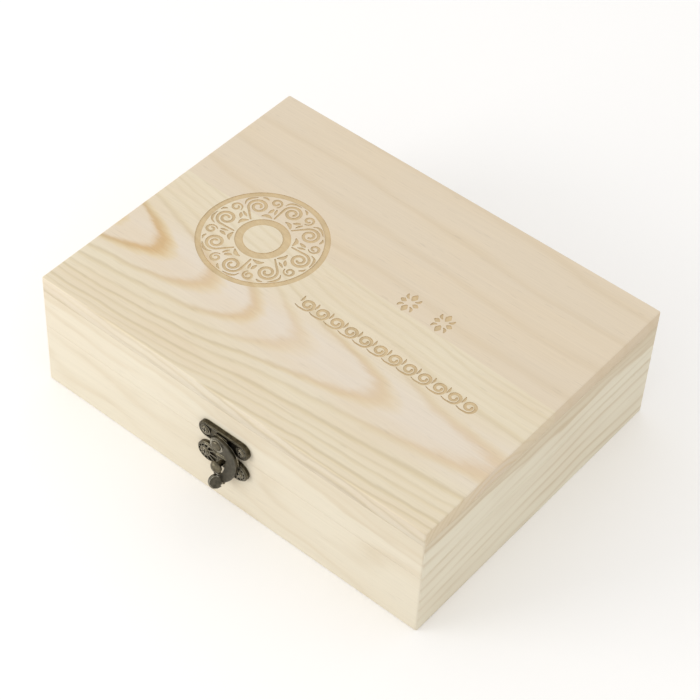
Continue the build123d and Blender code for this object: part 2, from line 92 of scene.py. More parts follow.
# Foam: corners, cut edges, wells with their thumb notches, and the lid pad's crown.
FOAM_CORNER = 3.0
FOAM_SOFT = 0.7
WELL_PITCH = 55.0
WELL_COLUMNS = 4
WELL_ROWS = 3
WELL_R = 26.0
WELL_POINTS = 120
WELL_SPREAD = (WELL_PITCH * (WELL_COLUMNS - 1), WELL_PITCH * (WELL_ROWS - 1), 0)
WELLS = [
    (WELL_PITCH * column - WELL_SPREAD[0] / 2, WELL_PITCH * row - WELL_SPREAD[1] / 2)
    for column in range(WELL_COLUMNS)
    for row in range(WELL_ROWS)
]
NOTCH_R = 7.0
NOTCH_OUT = 22.3
PAD_CROWN = 1.5
PAD_ROUND = 2.2
PAD_INSETS = (4, 7, 11, 16, 24, 34, 46, 60, 75)
PAD_FALL = 14
GASKET_BORE = 15.0
GASKET_SOFT = 0.45
GASKET_POINTS = 72

# Lifting ribbons: cut size, bend round the tray's edges, and how far the free ends stand up.
RIBBON_T = 0.35
RIBBON_TAB = 15.0
RIBBON_BEND = 0.7
RIBBON_CURL = 1.6

# Stage, in metres.
SENSOR_MM = 36.0
FLOOR_HALF = 6.0
KEY_PLACE = (-0.6, -0.8, 0.35)
KEY_SIZE = 0.6


# ---- Colours, nodes and meshes --------------------------------------------------------------
def linear(code):
    """A linear colour with alpha from an sRGB hex value; anything else stays as it is."""
    if not (isinstance(code, str) and code.startswith("#")):
        return code
    parts = [int(code[i:i + 2], 16) / 255 for i in (1, 3, 5)]
    return (*[p / 12.92 if p <= 0.04045 else ((p + 0.055) / 1.055) ** 2.4 for p in parts], 1.0)


def feed(tree, sockets, values):
    """Give sockets, by name or place, a value or colour each, or link them to a node or nodes."""
    live = [socket for socket in sockets if socket.enabled]
    for key, value in values.items():
        socket = live[key] if isinstance(key, int) else next(s for s in live if s.name == key)
        for one in value if isinstance(value, list) else [value]:
            if isinstance(one, bpy.types.Node):
                one = next(s for s in one.outputs if s.enabled)
            if isinstance(one, bpy.types.NodeSocket):
                tree.links.new(one, socket)
            else:
                socket.default_value = linear(one)


def add(tree, kind, inputs=None, **settings):
    """Add a node with its settings and feed its inputs."""
    made = tree.nodes.new(kind)
    for name, value in settings.items():
        setattr(made, name, value)
    feed(tree, made.inputs, inputs or {})
    return made


def shape_curve(node, points):
    """Give a Float Curve node its points."""
    curve = node.mapping.curves[0]
    for spot, place in zip(curve.points, (points[0], points[-1])):
        spot.location = place
    for place in points[1:-1]:
        curve.points.new(*place)
    for spot in curve.points:
        spot.handle_type = "AUTO_CLAMPED"
    node.mapping.update()


def new_group(name, inputs, outputs, kind="ShaderNodeTree"):
    """A node group: its tree, the sockets that come in and the sockets that go out."""
    tree = bpy.data.node_groups.new(name, kind)
    for way, sockets in (("INPUT", inputs), ("OUTPUT", outputs)):
        for label, (kind, value) in sockets.items():
            socket = tree.interface.new_socket(label, in_out=way, socket_type=f"NodeSocket{kind}")
            if value is not None:
                socket.default_value = linear(value)
    return tree, tree.nodes.new("NodeGroupInput").outputs, tree.nodes.new("NodeGroupOutput").inputs


def new_material(name):
    """An empty node material: the material, its tree and its shader."""
    made = bpy.data.materials.new(name)
    made.use_nodes = True
    tree = made.node_tree
    tree.nodes.clear()
    shader = add(tree, "ShaderNodeBsdfPrincipled")
    add(tree, "ShaderNodeOutputMaterial", {"Surface": shader})
    return made, tree, shader


def own_place(tree, turn=0):
    """A piece's own coordinates in metres, and the same in millimetres, turned about Z."""
    place = add(tree, "ShaderNodeTexCoord")
    sizes = {"Vector": place.outputs["Object"], "Rotation": (0, 0, turn), "Scale": (1 / MM,) * 3}
    return place, add(tree, "ShaderNodeMapping", sizes)


def patches(tree, place, scale, detail, roughness=0.5):
    """Noise in long patches; the scale says how many of them a millimetre holds along each axis."""
    drawn = add(tree, "ShaderNodeMapping", {"Vector": place, "Scale": scale})
    grain = {"Vector": drawn, "Scale": 1.0, "Detail": detail, "Roughness": roughness}
    return add(tree, "ShaderNodeTexNoise", grain)


def dress(material, *nodes):
    """Give CAD nodes one material."""
    for node in nodes:
        data = NODES[node].data
        if data.materials:
            for index in range(len(data.materials)):
                data.materials[index] = material
        else:
            data.materials.append(material)


def linked(name, data):
    """An object with its data, linked to the scene at the origin."""
    made = bpy.data.objects.new(name, data)
    bpy.context.scene.collection.objects.link(made)
    return made


def mesh_object(name, shape, *materials):
    """Turn a bmesh drawn in millimetres into an object in metres whose faces point outwards."""
    bmesh.ops.scale(shape, vec=(MM,) * 3, verts=shape.verts)
    bmesh.ops.recalc_face_normals(shape, faces=shape.faces)
    mesh = bpy.data.meshes.new(name)
    shape.to_mesh(mesh)
    shape.free()
    for material in materials:
        mesh.materials.append(material)
    return linked(name, mesh)


def loop_of(shape, points):
    """Vertices at the points of one closed line."""
    return [shape.verts.new(point) for point in points]


def skin(shape, loops):
    """Smooth quads between neighbouring loops of equally many vertices."""
    for low, high in zip(loops, loops[1:]):
        for i in range(len(low)):
            j = (i + 1) % len(low)
            shape.faces.new((low[i], low[j], high[j], high[i])).smooth = True


def rounding(radius, steps=4):
    """Insets and rises of a quarter round, from the flat face out to the upright side."""
    turns = [math.radians(90 * step / (steps - 1)) for step in range(steps)]
    return [(radius * (1 - math.sin(a)), radius * (1 - math.cos(a))) for a in turns]


def rounded_rectangle(wide, deep, radius, inset, z, steps=7):
    """Points of a rounded rectangle about the origin, drawn in by the inset."""
    tight = max(radius - inset, 0.02)
    points = []
    for corner, (sx, sy) in enumerate(((1, 1), (-1, 1), (-1, -1), (1, -1))):
        for step in range(steps):
            a = math.radians(90 * (corner + step / (steps - 1)))
            x = sx * (wide / 2 - inset - tight) + tight * math.cos(a)
            y = sy * (deep / 2 - inset - tight) + tight * math.sin(a)
            points.append((x, y, z))
    return points


def grown(name, tree, values, mesh=None):
    """Run a Geometry Nodes tree on a mesh and keep what it makes as a plain mesh."""
    host = linked(name, mesh or bpy.data.meshes.new(name))
    modifier = host.modifiers.new(name, "NODES")
    modifier.node_group = tree
    for item in tree.interface.items_tree:
        if item.item_type == "SOCKET" and item.in_out == "INPUT" and item.name in values:
            modifier[item.identifier] = values[item.name]
    result = host.evaluated_get(bpy.context.evaluated_depsgraph_get())
    made = bpy.data.meshes.new_from_object(result)
    host.modifiers.remove(modifier)
    host.data = made
    return host


def check_closed(piece):
    """Turn a solid's faces outwards, and stop if it isn't closed."""
    shape = bmesh.new()
    shape.from_mesh(piece.data)
    bmesh.ops.recalc_face_normals(shape, faces=shape.faces)
    open_edges = sum(not edge.is_manifold for edge in shape.edges)
    shape.to_mesh(piece.data)
    shape.free()
    if open_edges:
        raise RuntimeError(f"{piece.name} has {open_edges} open edges")


def finish_piece(piece, body, replaced):
    """Ride the piece on its body and hide the CAD node that it stands for."""
    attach(piece, body)
    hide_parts(replaced)


# ---- Softwood -------------------------------------------------------------------------------
def pine_surface():
    """The look of sawn and sanded pine around a ring count: rings, fibres, flecks and blush.

    Vector is in millimetres with the grain along X. Phase counts growth rings, and End is 1
    where the board is cut across.
    """
    name = "pine surface"
    if name in bpy.data.node_groups:
        return bpy.data.node_groups[name]
    tree, given, out = new_group(
        name,
        {
            "Vector": ("Vector", None),
            "Phase": ("Float", 0.0),
            "Line": ("Float", 1.0),
            "Sharp": ("Float", 1.0),
            "End": ("Float", 0.0),
            "Early": ("Color", "#EADBC4"),
            "Late": ("Color", "#D6B88C"),
            "Halo": ("Color", "#E2D2AE"),
            "Glow": ("Float", 0.0),
            "Blush": ("Color", "#E6D0B4"),
        },
        {"Color": ("Color", None), "Height": ("Float", None), "Roughness": ("Float", None)},
    )
    place = given["Vector"]
    # A ring is pale, darkens to its late wood and fades through a yellow halo into the next ring.
    turn = add(tree, "ShaderNodeMath", {0: given["Phase"]}, operation="FRACT")
    ring = add(tree, "ShaderNodeFloatCurve", {"Value": turn})
    rise = [(0, 0.34), (0.1, 0.1), (0.2, 0.02), (0.55, 0.02), (0.66, 0.24), (0.74, 0.75)]
    shape_curve(ring, [*rise, (0.81, 1), (0.89, 0.8), (1, 0.34)])
    crisp = add(tree, "ShaderNodeMath", {0: ring, 1: given["Sharp"]}, operation="POWER")
    late = add(tree, "ShaderNodeMath", {0: crisp, 1: given["Line"]}, operation="MULTIPLY", use_clamp=True)
    halo = add(tree, "ShaderNodeFloatCurve", {"Value": turn})
    shape_curve(halo, [(0, 0.9), (0.1, 0.45), (0.22, 0), (0.7, 0), (0.85, 0.8), (0.93, 1), (1, 0.9)])
    glow = add(tree, "ShaderNodeMath", {0: halo, 1: given["Glow"]}, operation="MULTIPLY", use_clamp=True)
    # Fibres are 0.03 mm wide, and drawn 0.5 mm wide and 40 mm long so that they show.
    fibre = patches(tree, place, (0.025, 1.9, 1.9), 4.0, 0.62)
    pores = add(tree, "ShaderNodeTexNoise", {"Vector": place, "Scale": 3.2, "Detail": 2.0})
    grit = add(tree, "ShaderNodeMix", {"Factor": given["End"], "A": fibre, "B": pores})
    # Broad patches where the sapwood turns pinker, some 20 mm across and 80 mm long.
    cloud = patches(tree, place, (0.012, 0.05, 0.05), 2.0)
    span = {"Value": cloud, "From Min": 0.42, "From Max": 0.72, "To Max": 0.6}
    blush = add(tree, "ShaderNodeMapRange", span)
    tints = {"Factor": blush, "A": given["Early"], "B": given["Blush"]}
    early = add(tree, "ShaderNodeMix", tints, data_type="RGBA")
    warm = add(tree, "ShaderNodeMix", {"Factor": glow, "A": early, "B": given["Halo"]}, data_type="RGBA")
    wood = add(tree, "ShaderNodeMix", {"Factor": late, "A": warm, "B": given["Late"]}, data_type="RGBA")
    span = {"Value": grit, "From Min": 0.3, "From Max": 0.7, "To Min": 0.955, "To Max": 1.028}
    shade = add(tree, "ShaderNodeMapRange", span)
    # Resin canals are short brown dashes, few and faint.
    canal = patches(tree, place, (0.11, 1.3, 1.3), 0.0)
    span = {"Value": canal, "From Min": 0.73, "From Max": 0.8, "To Min": 1.0, "To Max": 0.93}
    fleck = add(tree, "ShaderNodeMapRange", span)
    tone = add(tree, "ShaderNodeMath", {0: shade, 1: fleck}, operation="MULTIPLY")
    toned = add(tree, "ShaderNodeVectorMath", {0: wood, "Scale": tone}, operation="SCALE")
    lift = add(tree, "ShaderNodeMath", {0: late, 1: 0.5, 2: grit}, operation="MULTIPLY_ADD")
    matt = add(tree, "ShaderNodeMapRange", {"Value": late, "To Min": 0.62, "To Max": 0.5})
    feed(tree, out, {"Color": toned, "Height": lift, "Roughness": matt})
    return tree


def straight_rings():
    """A ring count for a board sawn from far off the pith: nearly straight lines that waver."""
    name = "straight growth rings"
    if name in bpy.data.node_groups:
        return bpy.data.node_groups[name]
    tree, given, out = new_group(
        name,
        {
            "Vector": ("Vector", None),
            "Pith": ("Vector", (0.0, 0.0, 0.0)),
            "Spacing": ("Float", 4.0),
            "Taper": ("Float", 0.02),
            "Waver": ("Float", 2.0),
        },
        {"Phase": ("Float", None)},
    )
    place = given["Vector"]
    sway = patches(tree, place, (0.011, 0.03, 0.03), 2.0, 0.4)
    from_pith = add(tree, "ShaderNodeVectorMath", {0: place, 1: given["Pith"]}, operation="SUBTRACT")
    across = add(tree, "ShaderNodeVectorMath", {0: from_pith, 1: (0.0, 1.0, 1.0)}, operation="MULTIPLY")
    radius = add(tree, "ShaderNodeVectorMath", {0: across}, operation="LENGTH")
    along = add(tree, "ShaderNodeSeparateXYZ", {"Vector": place}).outputs["X"]
    leaning = add(tree, "ShaderNodeMath", {0: along, 1: given["Taper"], 2: radius}, operation="MULTIPLY_ADD")
    swaying = add(tree, "ShaderNodeMath", {0: sway, 1: given["Waver"], 2: leaning}, operation="MULTIPLY_ADD")
    phase = add(tree, "ShaderNodeMath", {0: swaying, 1: given["Spacing"]}, operation="DIVIDE")
    feed(tree, out, {"Phase": phase})
    return tree


def wall_pine(name, turned, pith, spacing, taper, line, early, late, blush, heart):
    """Sawn, sanded and unfinished pine of a wall: matt, cream, with faint lines along the board.

    Heart says how much the darker heartwood along the top of the wall shows.
    """
    made, tree, shader = new_material(name)
    _, mm = own_place(tree, -math.pi / 2 if turned else 0)
    rings = {"Vector": mm, "Pith": pith, "Spacing": spacing, "Taper": taper, "Waver": 13.0}
    phase = add(tree, "ShaderNodeGroup", rings, node_tree=straight_rings())
    sway = patches(tree, mm, (0.016, 0.02, 0.06), 3.0, 0.55)
    # Some rings show well and others hardly at all.
    span = {"Value": sway, "From Min": 0.36, "From Max": 0.64, "To Min": 0.3 * line, "To Max": 1.8 * line}
    uneven = add(tree, "ShaderNodeMapRange", span)
    looks = {"Vector": mm, "Phase": phase, "Line": uneven, "Early": early, "Late": late, "Blush": blush}
    wood = add(tree, "ShaderNodeGroup", looks, node_tree=pine_surface())
    # Heartwood starts with a wavering dark line some 56 mm up and stays a little browner above it.
    parts = add(tree, "ShaderNodeSeparateXYZ", {"Vector": mm}).outputs
    rising = add(tree, "ShaderNodeMath", {0: parts["X"], 1: 0.06, 2: parts["Z"]}, operation="MULTIPLY_ADD")
    level = add(tree, "ShaderNodeMath", {0: sway, 1: 16.0, 2: rising}, operation="MULTIPLY_ADD")
    share = add(tree, "ShaderNodeMapRange", {"Value": level, "From Min": 56.0, "From Max": 76.0})
    zone = add(tree, "ShaderNodeFloatCurve", {"Value": share})
    line_up = [(0, 0), (0.3, 0.03), (0.4, 0.6), (0.5, 0.36)]
    shape_curve(zone, [*line_up, (0.61, 0.34), (0.69, 0.58), (0.77, 0.42), (1, 0.5)])
    shown = add(tree, "ShaderNodeMath", {0: zone, 1: heart}, operation="MULTIPLY")
    colour = add(tree, "ShaderNodeMix", {"Factor": shown, "A": wood, "B": late}, data_type="RGBA")
    sanded(tree, shader, colour, wood.outputs["Height"], wood.outputs["Roughness"])
    return made


def sanded(tree, shader, colour, height, roughness):
    """Finish bare pine: the grain stands up by hundredths of a millimetre and shines very little."""
    bump = add(tree, "ShaderNodeBump", {"Height": height, "Strength": 0.35, "Distance": 0.05 * MM})
    feed(
        tree,
        shader.inputs,
        {"Base Color": colour, "Normal": bump, "Roughness": roughness, "Specular IOR Level": 0.35},
    )


# The front board of the lid is cut close to the pith, so its rings arch. The tables give, for
# places along the board in mm, where the arches' middle lies and how the trunk tapers, and
# then how far from the pith each ring ends, and how strongly its tip and its long arms show.
BOARD_PLACES = range(-120, 121, 40)
ARCH_MIDDLE = [*zip(BOARD_PLACES, (-36.2, -38.5, -40.9, -42.2, -42.0, -43.8, -42.5))]
ARCH_TAPER = [*zip(BOARD_PLACES, (0, 362, 818, 1395, 1655, 1925, 2060))]
RING_RADII = (40.0, 43.65, 47.6, 51.5, 55.3, 58.3, 61.3, 65.0, 67.6, 70.1, 73.5, 76.2, 79.0, 82.0)
RING_ENDS = [*((radius, ring) for ring, radius in enumerate(RING_RADII)), (88.0, 15)]
TIP_LINES = [
    (40.0, 0.75), (44.0, 0.86), (47.6, 0.5), (51.5, 0.5), (55.3, 0.28), (58.3, 0.42), (60.5, 0.38),
    (64.0, 0.25), (88.0, 0.1),
]
ARM_LINES = [
    (40.0, 0.8), (44.0, 0.75), (47.6, 0.42), (51.5, 0.4), (55.3, 0.28), (58.3, 0.5), (61.3, 0.3),
    (65.0, 0.48), (67.6, 0.24), (70.1, 0.34), (73.5, 0.48), (78.0, 0.3), (88.0, 0.28),
]
PITH_DEEP = 40.0


def arched_rings():
    """Ring count and line strength of a plain-sawn board, whose lines close in arches along it."""
    name = "arched growth rings"
    if name in bpy.data.node_groups:
        return bpy.data.node_groups[name]
    tree, given, out = new_group(
        name,
        {"Vector": ("Vector", None)},
        {"Phase": ("Float", None), "Line": ("Float", None), "Arm": ("Float", None)},
    )
    place = add(tree, "ShaderNodeSeparateXYZ", {"Vector": given["Vector"]}).outputs
    sway = patches(tree, given["Vector"], (0.03, 0.07, 0.07), 3.0)

    def table(source, points, bottom, top):
        """Look a number up in a table of places and values."""
        low, high = points[0][0], points[-1][0]
        share = add(tree, "ShaderNodeMapRange", {"Value": source, "From Min": low, "From Max": high})
        curve = add(tree, "ShaderNodeFloatCurve", {"Value": share})
        shape_curve(curve, [((x - low) / (high - low), (y - bottom) / (top - bottom)) for x, y in points])
        return add(tree, "ShaderNodeMapRange", {"Value": curve, "To Min": bottom, "To Max": top})

    middle = table(place["X"], ARCH_MIDDLE, -50, 0)
    taper = table(place["X"], ARCH_TAPER, 0, 2200)
    side = add(tree, "ShaderNodeMath", {0: place["Y"], 1: middle}, operation="SUBTRACT")
    swayed = add(tree, "ShaderNodeMath", {0: sway, 1: 4.0, 2: side}, operation="MULTIPLY_ADD")
    centred = add(tree, "ShaderNodeMath", {0: swayed, 1: 2.0}, operation="SUBTRACT")
    deep = add(tree, "ShaderNodeMath", {0: place["Z"], 1: LID_HIGH[2] - PITH_DEEP}, operation="SUBTRACT")
    side_square = add(tree, "ShaderNodeMath", {0: centred, 1: centred, 2: taper}, operation="MULTIPLY_ADD")
    square = add(tree, "ShaderNodeMath", {0: deep, 1: deep, 2: side_square}, operation="MULTIPLY_ADD")
    radius = add(tree, "ShaderNodeMath", {0: square}, operation="SQRT")
    count = table(radius, RING_ENDS, 0, 15)
    # Rings fray where they are cut across at a slant, over some 3 mm.
    fray = patches(tree, given["Vector"], (0.09, 0.3, 0.3), 4.0, 0.6)
    frayed = add(tree, "ShaderNodeMath", {0: fray, 1: 0.26, 2: count}, operation="MULTIPLY_ADD")
    phase = add(tree, "ShaderNodeMath", {0: frayed, 1: 0.13}, operation="SUBTRACT")
    tips, arms = (table(radius, lines, 0, 1) for lines in (TIP_LINES, ARM_LINES))
    # Arm runs from 0 at the arches' tips to 1 on their long straight arms. The arms on the
    # back's side are fainter.
    off = add(tree, "ShaderNodeMath", {0: centred}, operation="ABSOLUTE")
    span = {"Value": off, "From Min": 5.0, "From Max": 27.0}
    arm = add(tree, "ShaderNodeMapRange", span, interpolation_type="SMOOTHSTEP")
    span = {"Value": centred, "From Min": 14.0, "From Max": 30.0, "To Min": 1.0, "To Max": 0.45}
    fade = add(tree, "ShaderNodeMapRange", span)
    line = add(tree, "ShaderNodeMix", {"Factor": arm, "A": tips, "B": arms})
    faded = add(tree, "ShaderNodeMath", {0: line, 1: fade}, operation="MULTIPLY")
    feed(tree, out, {"Phase": phase, "Line": faded, "Arm": arm})
    return tree


def lid_pine(name, heart, early, tip, late, blush, back_early, back_late):
    """Two pine boards glued edge to edge: arches on the front board, a plain pinkish back board.

    Heart and tip are the pale and dark colours inside the arches, early and late those of their arms.
    """
    made, tree, shader = new_material(name)
    place, mm = own_place(tree)
    parts = add(tree, "ShaderNodeSeparateXYZ", {"Vector": mm}).outputs
    facing = add(tree, "ShaderNodeSeparateXYZ", {"Vector": place.outputs["Normal"]}).outputs
    # End is 1 on the board's end faces, and sawn is 1 on its long edges, which are painted in shade.
    end, sawn = (
        add(
            tree,
            "ShaderNodeMapRange",
            {
                "Value": add(tree, "ShaderNodeMath", {0: facing[axis]}, operation="ABSOLUTE"),
                "From Min": 0.6,
                "From Max": 0.9,
            },
        )
        for axis in "XY"
    )
    arches = add(tree, "ShaderNodeGroup", {"Vector": mm}, node_tree=arched_rings()).outputs
    arm = arches["Arm"]
    pale = add(tree, "ShaderNodeMix", {"Factor": arm, "A": heart, "B": early}, data_type="RGBA")
    dark = add(tree, "ShaderNodeMix", {"Factor": arm, "A": tip, "B": late}, data_type="RGBA")
    sharp = add(tree, "ShaderNodeMapRange", {"Value": arm, "To Min": 0.82, "To Max": 0.75})
    rings = {"Vector": mm, "Pith": (0, -400, -140), "Spacing": 21.0, "Taper": 0.05, "Waver": 17.0}
    plain = add(tree, "ShaderNodeGroup", rings, node_tree=straight_rings())
    both = {"Vector": mm, "End": end, "Blush": blush}
    front_looks = {
        "Phase": arches["Phase"],
        "Line": arches["Line"],
        "Sharp": sharp,
        "Early": pale,
        "Late": dark,
        "Glow": arches["Line"],
    }
    back_looks = {"Phase": plain, "Line": 0.2, "Sharp": 2.0, "Early": back_early, "Late": back_late}
    front, back = (
        add(tree, "ShaderNodeGroup", {**both, **looks}, node_tree=pine_surface())
        for looks in (front_looks, back_looks)
    )
    # The glue line runs some 8.5 mm behind the middle, a little askew.
    joint = add(tree, "ShaderNodeMath", {0: parts["X"], 1: 0.033, 2: parts["Y"]}, operation="MULTIPLY_ADD")
    over = add(tree, "ShaderNodeMapRange", {"Value": joint, "From Min": 8.5, "From Max": 8.9})
    colour = add(tree, "ShaderNodeMix", {"Factor": over, "A": front, "B": back}, data_type="RGBA")
    heights = {"Factor": over, "A": front.outputs["Height"], "B": back.outputs["Height"]}
    height = add(tree, "ShaderNodeMix", heights)
    # Wood cut across its fibres drinks in light and looks a shade browner.
    shaded = add(tree, "ShaderNodeMapRange", {"Value": end, "To Max": 0.45})
    cross_cut = add(tree, "ShaderNodeMix", {"Factor": shaded, "A": colour, "B": "#C6B08F"}, data_type="RGBA")
    # The long edges are painted darker than the top: painted shade.
    edge_shading = {"Factor": sawn, "A": cross_cut, "B": (0.89, 0.9, 0.94, 1)}
    edge_shaded = add(tree, "ShaderNodeMix", edge_shading, data_type="RGBA", blend_type="MULTIPLY")
    sanded(tree, shader, edge_shaded, height, front.outputs["Roughness"])
    return made


# ---- Laser engraving ------------------------------------------------------------------------
# A stroke is a line of points in millimetres with its width, and how thin it starts and ends.
def smooth_line(corners, steps=6):
    """A smooth line through a few points."""
    first = [2 * a - b for a, b in zip(corners[0], corners[1])]
    last = [2 * a - b for a, b in zip(corners[-1], corners[-2])]
    knots = [first, *corners, last]
    line = []
    for four in zip(knots, knots[1:], knots[2:], knots[3:]):
        for t in (step / steps for step in range(steps)):
            spot = []
            for a, b, c, d in zip(*four):
                square, cube = 2 * a - 5 * b + 4 * c - d, 3 * b - a - 3 * c + d
                spot.append(0.5 * (2 * b + (c - a) * t + square * t**2 + cube * t**3))
            line.append(tuple(spot))
    return [*line, tuple(corners[-1])]


def polar(angle, radius):
    """The point at a clockwise angle from 12 o'clock."""
    turn = math.radians(90 - angle)
    return radius * math.cos(turn), radius * math.sin(turn)


def swept(*corners, steps=6):
    """A smooth line through points given as clockwise angles from 12 o'clock and radii."""
    return smooth_line([polar(angle, radius) for angle, radius in corners], steps)


def curl(middle, radius, end_radius, start, turns, count):
    """A line that winds in or out round a middle."""
    line = []
    for i in range(count):
        t = i / (count - 1)
        turn = math.radians(start + 360 * turns * t)
        reach = radius + (end_radius - radius) * t
        line.append((middle[0] + reach * math.cos(turn), middle[1] + reach * math.sin(turn)))
    return line


def medallion_strokes():
    """One eighth of the ring of scrolls and leaves."""
    stem = swept((-19.5, 15.3), (-17.5, 17.6), (-15.6, 20.6), steps=5)
    return [
        (stem[:-1] + curl(polar(-1.5, 23.6), 5.2, 1.1, 192, -1.7, 62), 1.75, 0.45, 0.75),
        (curl(polar(19.3, 26.7), 3.1, 0.9, 262, 1.28, 36), 1.45, 0.3, 0.75),
        (swept((22, 15.4), (15, 16.4), (9, 17.0), (1, 16.7)), 2.3, 0.1, 0.12),
        (swept((-15.6, 26.8), (-12.6, 29.0), (-7.4, 30.1), (0, 30.3)), 1.5, 0.15, 0.12),
        (swept((12.0, 18.8), (15.5, 20.1), (18.9, 22.2)), 2.0, 0.1, 0.35),
        (swept((22.6, 18.1), (22.7, 20.4), (23.0, 22.4)), 1.5, 0.1, 0.3),
        (swept((4, 30.1), (7.5, 29.7), (10.6, 28.3)), 1.4, 0.15, 0.3),
    ]


def border_strokes():
    """One curl of the running border."""
    stem = smooth_line([(-5.6, -3.6), (-3.2, -4.3), (-0.8, -4.25)], 5)
    return [
        (stem[:-1] + curl((0.0, -0.45), 3.8, 1.1, -98, 1.42, 44), 1.75, 0.15, 0.75),
        (smooth_line([(-4.9, 3.9), (-4.4, 1.8), (-4.6, -0.6)]), 1.3, 0.2, 0.1),
    ]


def flower_strokes():
    """A flower of four leaves with four sepals between them."""
    strokes = []
    for way in (-1, 1):
        strokes.append((smooth_line([(0, way * 1.7), (0, way * 4.2), (0, way * 6.8)]), 3.4, 0.12, 0.04))
        strokes.append((smooth_line([(way * 1.9, 0), (way * 3.6, 0), (way * 5.4, 0)]), 3.0, 0.12, 0.04))
        for side in (-1, 1):
            leaf = [(way * 1.8, side * 2.1), (way * 3.4, side * 3.0), (way * 4.0, side * 5.0)]
            strokes.append((smooth_line(leaf), 1.6, 0.25, 0.3))
    return strokes


# A stroke has a station every half millimetre, and a round end in six steps, given as shares of
# its half width. It swells from its thin ends by a power, and is never thinner than a hair.
STROKE_STEP = 0.5
END_STEPS = np.array([0, 0.04, 0.14, 0.32, 0.6, 0.95])
SWELL = 0.7
HAIR = 0.02


def stroke_curves(name, strokes):
    """Strokes as poly splines with round ends; a point's radius is half the stroke's width there."""
    data = bpy.data.curves.new(name, "CURVE")
    data.dimensions = "3D"
    for line, wide, tail, tip in strokes:
        line = np.array(line)
        way = np.concatenate([[0], np.cumsum(np.linalg.norm(np.diff(line, axis=0), axis=1))])
        whole = way[-1]
        ends = wide / 2 * END_STEPS
        ends = ends[ends < whole / 3]
        inner = np.linspace(ends[-1], whole - ends[-1], max(3, round(whole / STROKE_STEP)))
        stations = np.concatenate([ends[:-1], inner, (whole - ends[:-1])[::-1]])
        share = stations / whole
        half = wide / 2 * np.minimum(1, tail + (1 - tail) * np.minimum(1, 2 * share) ** SWELL)
        half *= np.minimum(1, tip + (1 - tip) * np.minimum(1, 2 - 2 * share) ** SWELL)
        near = np.minimum(1, np.minimum(stations, whole - stations) / np.maximum(half, 0.05))
        half = np.maximum(half * np.sqrt(1 - (1 - near) ** 2), HAIR)
        spline = data.splines.new("POLY")
        spline.points.add(len(stations) - 1)
        across, up = (np.interp(stations, way, line[:, axis]) for axis in (0, 1))
        for spot, x, y, reach in zip(spline.points, across, up, half):
            spot.co = (x, y, 0, 1)
            spot.radius = reach
    return linked(name, data)


STROKE_ROW = {
    "Strokes": ("Object", None),
    "Copies": ("Int", 1),
    "Start": ("Vector", None),
    "Step": ("Vector", None),
    "Turn": ("Float", 0.0),
}
ROWS = ("Medallion", "Border", "Flower")
SHAPE_OUT = {"Geometry": ("Geometry", None)}


def stroke_row():
    """Copies of one set of strokes as flat ribbons, each moved on by a step and turned by an angle."""
    tree, given, out = new_group("row of strokes", STROKE_ROW, SHAPE_OUT, "GeometryNodeTree")
    strokes = add(tree, "GeometryNodeObjectInfo", {"Object": given["Strokes"]}).outputs["Geometry"]
    across = add(tree, "GeometryNodeCurvePrimitiveLine", {"Start": (-1, 0, 0), "End": (1, 0, 0)})
    half = add(tree, "GeometryNodeInputRadius")
    parts = {"Curve": strokes, "Profile Curve": across, "Scale": half, "Fill Caps": False}
    ribbon = add(tree, "GeometryNodeCurveToMesh", parts)
    line = {"Count": given["Copies"], "Start Location": given["Start"], "Offset": given["Step"]}
    spots = add(tree, "GeometryNodeMeshLine", line)
    number = add(tree, "GeometryNodeInputIndex")
    turned = add(tree, "ShaderNodeMath", {0: number, 1: given["Turn"]}, operation="MULTIPLY")
    about_z = add(tree, "ShaderNodeCombineXYZ", {"Z": turned})
    copies = {"Points": spots, "Instance": ribbon, "Rotation": about_z}
    row = add(tree, "GeometryNodeInstanceOnPoints", copies)
    real = add(tree, "GeometryNodeRealizeInstances", {"Geometry": row})
    feed(tree, out, {"Geometry": real})
    return tree


